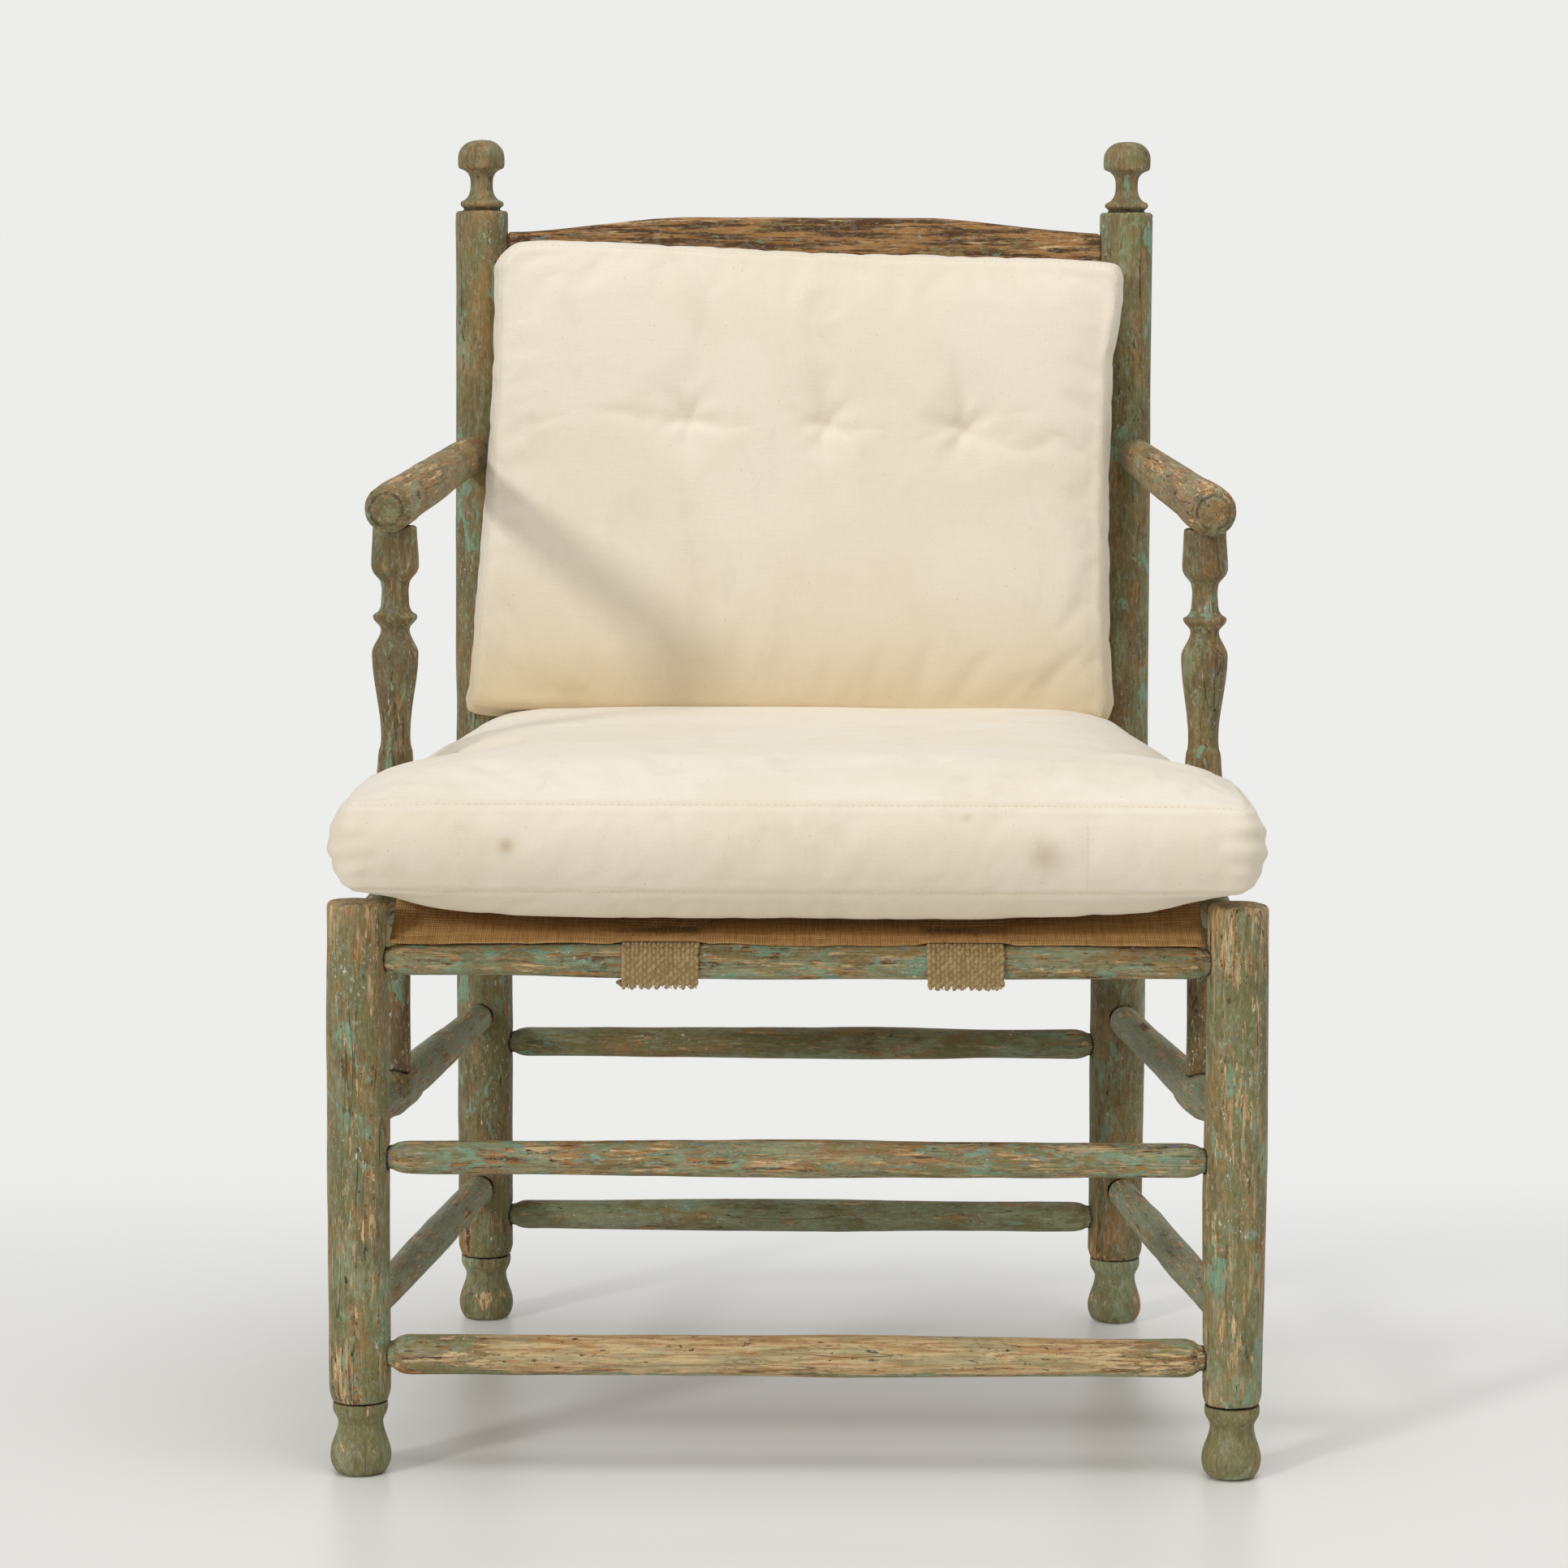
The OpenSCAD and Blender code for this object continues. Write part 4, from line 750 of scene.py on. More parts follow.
def yarn_tree():
    """Geometry nodes that lay one plump stitch of yarn on each point of the webbing."""
    tree = bpy.data.node_groups.new("Webbing stitches", "GeometryNodeTree")
    tree.interface.new_socket("Geometry", in_out="INPUT", socket_type="NodeSocketGeometry")
    for name in ("Stitch width", "Stitch length", "Stitch height"):
        tree.interface.new_socket(name, in_out="INPUT", socket_type="NodeSocketFloat")
    tree.interface.new_socket("Seed", in_out="INPUT", socket_type="NodeSocketInt")
    tree.interface.new_socket("Yarn", in_out="INPUT", socket_type="NodeSocketMaterial")
    tree.interface.new_socket("Geometry", in_out="OUTPUT", socket_type="NodeSocketGeometry")
    given = tree.nodes.new("NodeGroupInput").outputs
    bead = node(tree, "GeometryNodeMeshIcoSphere", {"Radius": 0.5, "Subdivisions": 1}, 0)
    size = node(tree, "ShaderNodeCombineXYZ", {0: given["Stitch width"], 1: given["Stitch length"],
                                               2: given["Stitch height"]}, 0)
    shaped = node(tree, "GeometryNodeTransform", {"Geometry": bead, "Scale": size}, 0)
    run, face, turn = (node(tree, "GeometryNodeInputNamedAttribute", {"Name": name}, 0, data_type=kind)
                       for name, kind in (("run", "FLOAT_VECTOR"), ("face", "FLOAT_VECTOR"),
                                          ("turn", "FLOAT")))
    upright = node(tree, "FunctionNodeAlignEulerToVector", {"Vector": face}, 0, axis="Z")
    along = node(tree, "FunctionNodeAlignEulerToVector", {"Rotation": upright, "Vector": run}, 0,
                 axis="Y", pivot_axis="Z")
    wobble = node(tree, "FunctionNodeRandomValue", {2: -0.16, 3: 0.16, "Seed": given["Seed"]}, 1,
                  data_type="FLOAT")
    twist = node(tree, "ShaderNodeCombineXYZ", {2: maths(tree, "ADD", turn, wobble)}, 0)
    turned = node(tree, "FunctionNodeRotateEuler", {"Rotation": along, "Rotate By": twist}, 0,
                  rotation_type="EULER", space="LOCAL")
    plump = node(tree, "FunctionNodeRandomValue", {2: 0.86, 3: 1.12, "Seed": given["Seed"]}, 1,
                 data_type="FLOAT")
    laid = node(tree, "GeometryNodeInstanceOnPoints",
                {"Points": given["Geometry"], "Instance": shaped, "Rotation": turned, "Scale": plump}, 0)
    real = node(tree, "GeometryNodeRealizeInstances", {"Geometry": laid}, 0)
    rounded = node(tree, "GeometryNodeSetShadeSmooth", {"Geometry": real}, 0)
    dressed = node(tree, "GeometryNodeSetMaterial", {"Geometry": rounded, "Material": given["Yarn"]}, 0)
    node(tree, "NodeGroupOutput", {"Geometry": dressed})
    return tree


def laid_on(points, run, face, turn, tree, sizes, seed, material, name):
    """Runs a tree of geometry nodes on points and returns the plain mesh that it makes."""
    mesh = bpy.data.meshes.new(name)
    mesh.from_pydata([tuple(p) for p in points], [], [])
    attribute(mesh, "run", run)
    attribute(mesh, "face", face)
    attribute(mesh, "turn", turn)
    obj = new_object(name, mesh)
    modifier = obj.modifiers.new("stitches", "NODES")
    modifier.node_group = tree
    for item in tree.interface.items_tree:
        if item.in_out == "INPUT" and item.name in sizes:
            modifier[item.identifier] = sizes[item.name]
        if item.in_out == "INPUT" and item.name == "Seed":
            modifier[item.identifier] = seed
        if item.in_out == "INPUT" and item.socket_type == "NodeSocketMaterial":
            modifier[item.identifier] = material
    return settled(obj)


def joined(name, *objects):
    """Joins objects into the first one and names it."""
    with bpy.context.temp_override(active_object=objects[0], selected_editable_objects=objects,
                                   selected_objects=objects):
        bpy.ops.object.join()
    objects[0].name = name
    return objects[0]


def jute_yarn(settings):
    """Coarse jute yarn: dry, hairy plant fibre, dull, with paler crowns and painted shade in the
    gaps between stitches. Its tone changes from one stitch to the next and its fibres are under 1 mm
    across."""
    material, tree, shader = new_material("coarse jute yarn", Roughness=0.92, Specular_IOR_Level=0.2)
    where = node(tree, "ShaderNodeTexCoord", None, "Object")
    base, masks = layered(tree, where, settings.jute, (
        ("dull", (260, 260, 200), 2, 0.6, 0, 0.4, 0.10, 0, 0.3, settings.jute_dull_and_shade),
        ("pale", (300, 300, 160), 2, 0.6, 0, 0.35, 0.10, 0, 0.4, settings.jute_pale),
        ("fibre", (1500, 1500, 1500), 2, 0.5, 0, 0.4, 0.10, 0, 0.25, settings.jute_dull_and_shade)))
    # Painted shade: where the stored core value is high, on the core between the stitches, the yarn
    # takes the shaded jute colour; the knot is darkened the same way
    base = mixed(tree, stored(tree, "core"), base, settings.jute_dull_and_shade)
    bump = node(tree, "ShaderNodeBump",
                {"Strength": 0.9, "Distance": 0.0006, "Height": masks["fibre"]}, 0)
    tree.links.new(base, shader.inputs["Base Color"])
    tree.links.new(bump, shader.inputs["Normal"])
    return material


class CHAIR_OT_webbing(bpy.types.Operator):
    """Makes the jute straps of the seat, stitch by stitch"""
    bl_idname = "chair.webbing"
    bl_label = "Webbing"

    def execute(self, context):
        settings = context.scene.chair_webbing
        yarn = jute_yarn(settings)
        tree = yarn_tree()
        radius = RAIL_R + STRAP_GAP + settings.strap_thickness / 2
        straps = []
        for side in ("left", "right"):
            name = f"web_strap_long_{side}"
            straps.append((name, f"Webbing_long_{side}",
                           long_path(middle_of(name)[0], radius, settings.tail_end), 0))
        for where in ("front", "middle", "rear"):
            name = f"web_strap_cross_{where}"
            straps.append((name, f"Webbing_cross_{where}", cross_path(middle_of(name)[1], radius), 1))
        for seed, (node_name, piece, path, across) in enumerate(straps):
            # The straps from side to side are hidden, so their rows are wider apart
            row = settings.row_pitch * (1.3 if across else 1) * 1
            self.make(settings, tree, yarn, row, seed, node_name, piece, path, across)
        return {"FINISHED"}

    def make(self, settings, tree, yarn, row, seed, node_name, piece, path, across):
        """One strap: its thin core with a plump stitch of yarn at each crossing."""
        line = resampled(path, row)
        if across == 0:
            # Past the rail the cover hides the strap, so every other row is enough there
            number = np.arange(len(line))
            line = line[(number < ROWS_IN_VIEW) | (number % 2 == 0)]
        run = np.gradient(line, axis=0)
        run /= np.linalg.norm(run, axis=1)[:, None]
        wide = np.zeros(3)
        wide[across] = 1.0
        out = np.cross(run, wide)
        out /= np.linalg.norm(out, axis=1)[:, None]
        pitch = settings.strap_width / settings.columns
        offsets = (np.arange(settings.columns) - (settings.columns - 1) / 2) * pitch
        points, runs, faces, turns = [], [], [], []
        for k, offset in enumerate(offsets):
            stray = 0.2 * pitch * lattice_noise(line + offset, 0.009, seed + 3)[:, None]
            points.append(line + wide * offset + wide * stray + run * row * (k % 2) * 0.5)
            runs.append(run)
            faces.append(out)
            turns.append(0.15 + 0.5 * lattice_noise(line + offset, 0.004, seed))
        stitches = laid_on(np.concatenate(points), np.concatenate(runs), np.concatenate(faces),
                           np.concatenate(turns), tree,
                           {"Stitch width": pitch * 1.3, "Stitch length": settings.row_pitch * 1.5,
                            "Stitch height": settings.strap_thickness * 1.15},
                           seed, yarn, piece + "_stitches")
        parts = [self.core(settings, line, wide, out, piece), stitches]
        if across == 0:
            parts += self.tail(settings, tree, yarn, seed, line, piece)
        for part in parts:
            part.data.materials.clear()
            part.data.materials.append(yarn)
        finish_piece(joined(piece, *parts), node_name, yarn)

    def core(self, settings, line, wide, out, piece):
        """The yarn between the stitches, painted dark as shade: a thin closed ribbon along the strap."""
        half = wide * (settings.strap_width / 2 - SELVEDGE)
        thin = out * 0.0009
        corners = np.stack([line - half - thin, line + half - thin,
                            line + half + thin, line - half + thin], axis=1)
        faces = [(4 * i + k, 4 * i + (k + 1) % 4, 4 * i + 4 + (k + 1) % 4, 4 * i + 4 + k)
                 for i in range(len(line) - 1) for k in range(4)]
        last = 4 * len(line) - 4
        mesh = bpy.data.meshes.new(piece)
        mesh.from_pydata([tuple(p) for p in corners.reshape(-1, 3)], [],
                         faces + [(3, 2, 1, 0), (last, last + 1, last + 2, last + 3)])
        attribute(mesh, "core", np.full(4 * len(line), 0.5))
        return new_object(piece, mesh)

    def tail(self, settings, tree, yarn, seed, line, piece):
        """The hanging end's frayed fibres, and the torn selvedge on the left strap."""
        half = settings.strap_width / 2 - SELVEDGE
        x, y, low = line[0]
        dice = np.random.default_rng(40 + seed)
        count = 150
        where = np.stack([x + dice.uniform(-half, half, count), y + dice.uniform(-0.001, 0.001, count),
                          low - dice.uniform(-0.0016, 0.0018, count)], axis=1)
        down = np.stack([dice.uniform(-0.9, 0.9, count), np.zeros(count), -np.ones(count)], axis=1)
        facing = np.tile([0.0, -1.0, 0.0], (count, 1))
        fray = laid_on(where, down, facing, np.zeros(count), tree,
                       {"Stitch width": 0.0008, "Stitch length": 0.0036, "Stitch height": 0.0012},
                       seed, yarn, piece + "_fray")
        parts = [fray]
        if x < 0:
            knot = np.array([[x - half - 0.0030, y + 0.002, low + 0.0020], [x - half - 0.0015, y, low]])
            bent = np.array([[1.0, 0, 0.3], [1.0, 0, -0.5]])
            curl = laid_on(knot, bent, facing[:2], np.zeros(2), tree,
                           {"Stitch width": 0.0030, "Stitch length": 0.0058, "Stitch height": 0.003},
                           seed, yarn, piece + "_knot")
            attribute(curl.data, "core", np.full(len(curl.data.vertices), 0.6))
            parts.append(curl)
        return parts


YARN_PITCH = 0.0017      # distance from one yarn of the hessian to the next
HESSIAN_THICK = 0.0012   # how far the cover's outside lies off what it is laid on


def open_hessian(settings):
    """Hessian: plain weave of single jute yarns 1.7 mm apart, with painted shade in the gaps of its
    open weave and uneven thick and thin yarns. Its weave follows the sheet's own run and width in
    metres."""
    material, tree, shader = new_material("hessian, plain woven jute", Roughness=0.9,
                                          Specular_IOR_Level=0.2)
    weave = stored(tree, "weave", "Vector")
    base, masks = layered(tree, weave, settings.hessian_shade, (
        ("slub", (700, 45, 1), 3, 0.6, 0, 0.6, 0.10, 0, 1, settings.hessian),
        ("pick", (45, 700, 1), 3, 0.6, 0, 0.3, 0.10, 0, 0.5, settings.hessian_pale)))
    wander = node(tree, "ShaderNodeTexNoise", {"Vector": weave, "Scale": 90.0, "Detail": 2.0}, "Fac")
    wander = maths(tree, "MULTIPLY", wander, 2.4)
    part = node(tree, "ShaderNodeSeparateXYZ", {0: weave})
    turns = 2 * math.pi / YARN_PITCH
    threads = [maths(tree, "SINE", maths(tree, "MULTIPLY_ADD", part.outputs[axis], turns, wander))
               for axis in (0, 1)]
    over = maths(tree, "MAXIMUM", *threads)
    # Painted shade darkens the weave's gaps; where the hem is folded, a second layer lies behind them
    # and it is lighter
    depth = maths(tree, "MULTIPLY_ADD", stored(tree, "folded"), -0.4, 0.55)
    gap = node(tree, "ShaderNodeMapRange", {0: over, 1: -0.45, 2: 0.35, 3: depth, 4: 0.0}, 0)
    base = mixed(tree, gap, base, settings.hessian_gap_shade)
    bump = node(tree, "ShaderNodeBump", {"Strength": 0.8, "Distance": 0.0005, "Height": over}, 0)
    tree.links.new(base, shader.inputs["Base Color"])
    tree.links.new(bump, shader.inputs["Normal"])
    return material


def tack_steel():
    """Cut tacks: pressed steel with a dull blue black oxide and specks of rust 1 mm across."""
    material, tree, shader = new_material("blued tack steel", Metallic=0.8, Roughness=0.5)
    where = node(tree, "ShaderNodeTexCoord", None, "Object")
    base, _ = layered(tree, where, linear("#34322F"), (
        ("rust", (900, 900, 900), 2, 0.5, 0, 0.3, 0.08, 0, 1, linear("#5A3E29")),))
    tree.links.new(base, shader.inputs["Base Color"])
    return material


class CHAIR_OT_hessian(bpy.types.Operator):
    """Makes the hessian cover over the webbing, with its folded and wavy front hem"""
    bl_idname = "chair.hessian"
    bl_label = "Hessian cover"

    def execute(self, context):
        settings = context.scene.chair_webbing
        obj = new_object("Hessian_cover", merged_copy("hessian_cover"))
        finer = obj.modifiers.new("finer", "SUBSURF")
        finer.subdivision_type = "SIMPLE"
        finer.levels = finer.render_levels = 2
        settled(obj)
        mesh = obj.data
        points = coordinates(mesh)
        rail = middle_of("front_seat_rail")
        straps = [middle_of(f"web_strap_long_{side}")[0] for side in ("left", "right")]
        aside = np.min([np.abs(points[:, 0] - x) for x in straps], axis=0)
        strap_edge = settings.strap_width / 2
        between_straps = ramp(aside, strap_edge - 0.002, strap_edge + 0.010)
        at_hem = ramp(rail[1] + 0.6 * settings.hem_depth - points[:, 1], 0.0, 0.012)
        folded = ramp(rail[1] + settings.hem_depth - points[:, 1], 0.0, 0.003)
        flat = points * np.array([1.0, 0.0, 0.0])
        wave = settings.hem_wave * (lattice_noise(flat, 0.055, 5) + 0.5 * lattice_noise(flat, 0.016, 6))
        weave = np.stack([points[:, 0], points[:, 1] - points[:, 2], np.zeros(len(points))], axis=1)
        points[:, 2] += (wave - settings.hem_drop + 0.0006 * folded) * at_hem
        points[:, 1] -= (0.0008 + 0.5 * np.abs(wave)) * at_hem
        # It dips behind the rail over a strap, and is a little uneven elsewhere
        dip = np.exp(-((points[:, 1] - rail[1] - 0.022) / 0.009) ** 2)
        points[:, 2] -= 0.003 * (1 - between_straps) * dip
        points[:, 2] += 0.0004 * lattice_noise(points, 0.02, 8) * (1 - at_hem)
        # The hem lies on the rail and on the straps round it: what would sink in is pushed out
        away = points[:, 1:] - np.array(rail[1:])
        far = np.linalg.norm(away, axis=1)
        reach = RAIL_R + HESSIAN_THICK + (settings.strap_thickness + STRAP_GAP) * (1 - between_straps)
        lift = np.maximum(reach - far, 0) * (away[:, 1] > -0.002)
        points[:, 1:] += away / far[:, None] * lift[:, None]
        place(mesh, points)
        attribute(mesh, "weave", weave)
        attribute(mesh, "folded", folded)
        smooth_shaded(mesh)
        cloth = open_hessian(settings)
        finish_piece(obj, "hessian_cover", cloth)
        tacks = NODES["webbing_tacks"]
        tacks.data.materials.clear()
        tacks.data.materials.append(tack_steel())
        return {"FINISHED"}


# Cushions

def calico_cloth(name, settings):
    """Unbleached calico: plain weave cotton, matt and a little fuzzy. Its threads lie under 1 mm
    apart and are drawn as slubs 1.5 mm wide and 30 mm long, both ways, with yellowing mixed
    with painted shade, old spots, darker tufts and a darker tint along the seams."""
    material, tree, shader = new_material(name, Roughness=0.93, Specular_IOR_Level=0.15,
                                          Sheen_Weight=0.12, Sheen_Roughness=0.5)
    where = node(tree, "ShaderNodeTexCoord", None, "Object")
    yellowing_and_shade, stain, seam = (stored(tree, label) for label in ("yellowing_and_shade", "spot", "seam"))
    # Yellowing mixed with painted shade, as strongly as the mesh's stored value says
    base = mixed(tree, yellowing_and_shade, settings.calico, settings.calico_yellowed_and_shade)
    base, masks = layered(tree, where, base, (
        ("cloud", (9, 14, 9), 4, 0.6, 0, 0.4, 0.10, 0, 0.16, settings.calico_yellowed_and_shade),
        ("smudge", (30, 30, 14), 4, 0.6, 0, 0.10, 0.06, 0, 0.05, settings.stain_dark),
        ("weft", (30, 660, 660), 3, 0.5, 0, 0.3, 0.10, 0, 0.05, settings.thread),
        ("warp", (660, 660, 30), 3, 0.5, 0, 0.3, 0.10, 0, 0.05, settings.thread),
        ("fleck", (420, 420, 420), 1, 0.5, 0, 0.0009, 0.02, 0, 0.4, settings.stain),
        ("fuzz", (1300, 1300, 1300), 1, 0.5, 0, 0.5, 0.20, 0, 0.06, settings.thread)))
    for part, tint in ((seam, settings.thread), (stain, settings.stain)):
        base = mixed(tree, part, base, tint)
    height = 0.0
    for part in ("weft", "warp", "fuzz"):
        height = maths(tree, "MULTIPLY_ADD", masks[part], 6.0, height)
    bump = node(tree, "ShaderNodeBump", {"Strength": 0.35, "Distance": 0.0004, "Height": height}, 0)
    tree.links.new(base, shader.inputs["Base Color"])
    tree.links.new(bump, shader.inputs["Normal"])
    return material


SEAM_STEP = 0.002        # distance between the points that draw a seam
SEAM_HELD = 0.0045       # how close to a seam the cover is held while it is filled


def seam_distances(points, lines):
    """For each point its distance from the nearest seam and the run along it there."""
    places = np.concatenate(lines)
    runs = np.concatenate([run_along(line) for line in lines])
    finder = KDTree(len(places))
    for i, p in enumerate(places):
        finder.insert(p, i)
    finder.balance()
    found = [finder.find(p) for p in points]
    return np.array([f[2] for f in found]), runs[[f[1] for f in found]]


def seam_shade(distance):
    """How strongly the cloth beside a seam is tinted darker, towards the thread's colour."""
    return 0.25 * np.exp(-(distance / 0.003) ** 2)


def filled(obj, distance, settings, frames=20, give=0.0008):
    """Fills a cushion: its slack cover is blown out between the held seams, and capped. distance is
    how far each point lies from what is held, and give is how far a point may sink in."""
    start = coordinates(obj.data)
    outward = coordinates(obj.data, "normal")
    group = obj.vertex_groups.new(name="held")
    held = distance < SEAM_HELD
    for weight, chosen in ((1.0, held), (0.5, (distance < 2 * SEAM_HELD) & ~held)):
        group.add([int(i) for i in np.nonzero(chosen)[0]], weight, "REPLACE")
    filling = obj.modifiers.new("filling", "CLOTH")
    cover = filling.settings
    cover.quality = 6
    cover.mass = 0.3
    cover.tension_stiffness = 12
    cover.compression_stiffness = 12
    cover.shear_stiffness = 6
    cover.bending_stiffness = 0.35
    cover.air_damping = 4
    cover.use_pressure = True
    cover.uniform_pressure_force = settings.pressure
    cover.shrink_min = -settings.slack
    cover.vertex_group_mass = "held"
    cover.pin_stiffness = 1.0
    cover.effector_weights.gravity = 0
    filling.collision_settings.use_collision = False
    filling.point_cache.frame_start = 1
    filling.point_cache.frame_end = frames
    scene = bpy.context.scene
    for number in range(1, frames + 1):
        scene.frame_set(number)
    settled(obj)
    step = coordinates(obj.data) - start
    # The cover is stretched over a firm filling, so it moves out and along but not in
    inward = np.minimum((step * outward).sum(axis=1) + give, 0)
    step -= outward * inward[:, None]
    far = np.linalg.norm(step, axis=1)
    step *= (np.minimum(far, settings.cap) / np.maximum(far, 1e-9))[:, None]
    place(obj.data, start + step)
    scene.frame_set(1)
    obj.vertex_groups.clear()
    return obj


def subdivided(obj):
    """One level of smooth subdivision, applied."""
    finer = obj.modifiers.new("finer", "SUBSURF")
    finer.levels = finer.render_levels = 1
    settled(obj)
    smooth_shaded(obj.data)
    return obj


def gathered(obj, distance, run, settings, seed):
    """Draws the cover in at its seams and puckers it beside them."""
    points = coordinates(obj.data)
    normals = coordinates(obj.data, "normal")
    wave = np.stack([run, np.zeros(len(run)), np.zeros(len(run))], axis=1)
    pucker = 0.6 * lattice_noise(wave, 0.011, seed) + 0.6 * lattice_noise(wave, 0.026, seed + 1)
    move = settings.pucker * pucker * np.exp(-distance / 0.013)
    # The seam lies in a groove with a soft roll beside it, and the open cloth is a little uneven
    move -= 0.0010 * np.exp(-(distance / 0.0026) ** 2)
    move += 0.0003 * np.exp(-((distance - 0.0058) / 0.003) ** 2)
    move += 0.0009 * lattice_noise(points, 0.09, seed + 2) * np.clip(distance / 0.03, 0, 1)
    place(obj.data, points + normals * move[:, None])


def carried(points, chosen, below, start, depth):
    """Lifts those chosen points that have sunk by less than a depth through the underside of a
    solid back onto it. start is a height under the solid."""
    for i in np.nonzero(chosen)[0]:
        x, y, z = points[i]
        hit = below.ray_cast(Vector((x, y, start)), Vector((0, 0, 1)))[0]
        if hit is not None and hit.z - depth < z < hit.z:
            points[i, 2] = hit.z


def seam_stitches(lines, obj, tree, settings, material, name):
    """A row of small stitches on the cover along each seam."""
    surface = surface_of(obj.data)
    points, runs, faces = [], [], []
    for line in lines:
        stops = resampled(line, settings.stitch)
        for stop, run in zip(stops, np.gradient(stops, axis=0)):
            spot, normal, _, _ = surface.find_nearest(stop)
            points.append(spot)
            runs.append(run / np.linalg.norm(run))
            faces.append(normal)
    return laid_on(np.array(points), np.array(runs), np.array(faces), np.zeros(len(points)), tree,
                   {"Stitch width": 0.00035, "Stitch length": settings.stitch * 0.65,
                    "Stitch height": 0.00025}, 7, material, name)


def linen_thread(settings):
    """Waxed linen thread: smooth, tight and slightly darker than the calico."""
    material, tree, shader = new_material("waxed linen thread", Roughness=0.8)
    where = node(tree, "ShaderNodeTexCoord", None, "Object")
    base, _ = layered(tree, where, settings.thread, (
        ("ply", (800, 800, 800), 2, 0.5, 0, 0.5, 0.10, 0, 0.4, settings.stain),))
    tree.links.new(base, shader.inputs["Base Color"])
    return material


# Spots on the seat cushion, each with its place, radius and strength
SEAT_SPOTS = (((-0.205, -0.29, 0.468), 0.005, 0.6), ((0.175, -0.29, 0.462), 0.0105, 0.42),
              ((0.171, -0.29, 0.470), 0.006, 0.25), ((0.12, -0.28, 0.488), 0.003, 0.4),
              ((-0.07, -0.10, 0.52), 0.008, 0.12))
SPOT_SHAPE = np.array([1, 0.35, 1])    # a spot reaches about three times as deep as it is wide


def spots_at(points, places):
    """How strongly each vertex is stained by round spots, each (place, radius, strength)."""
    total = np.zeros(len(points))
    for where, radius, strength in places:
        far = np.linalg.norm((points - np.array(where)) * SPOT_SHAPE, axis=1)
        total = np.maximum(total, strength * np.exp(-(far / radius) ** 2))
    return total


def seat_seams(settings):
    """The seat cushion's seams as dense lines: those round its two panels, and its boxing's join."""
    solid = merged_copy("seat_cushion")
    points = coordinates(solid)
    bpy.data.meshes.remove(solid)
    front = points[:, 1].min() + settings.seam_in
    back = points[:, 1].max() - settings.seam_in
    lines = []
    for height in (settings.seat_seam_low, settings.seat_seam_high):
        rim = points[np.abs(points[:, 2] - height) < 2e-5]
        depths = np.unique(np.round(rim[:, 1], 5))
        depths = depths[(depths >= front - 1e-4) & (depths <= back + 1e-4)]
        right = [(rim[np.abs(rim[:, 1] - y) < 2e-5][:, 0].max(), y, height) for y in depths]
        loop = right + [(-x, y, z) for x, y, z in reversed(right)] + right[:1]
        lines.append(resampled(loop, SEAM_STEP))
    # The boxing is joined by an upright seam at the front right
    join = [(0.205, front - settings.seam_in, z) for z in
            np.linspace(settings.seat_seam_low, settings.seat_seam_high, 40)]
    return lines, [np.array(join)]


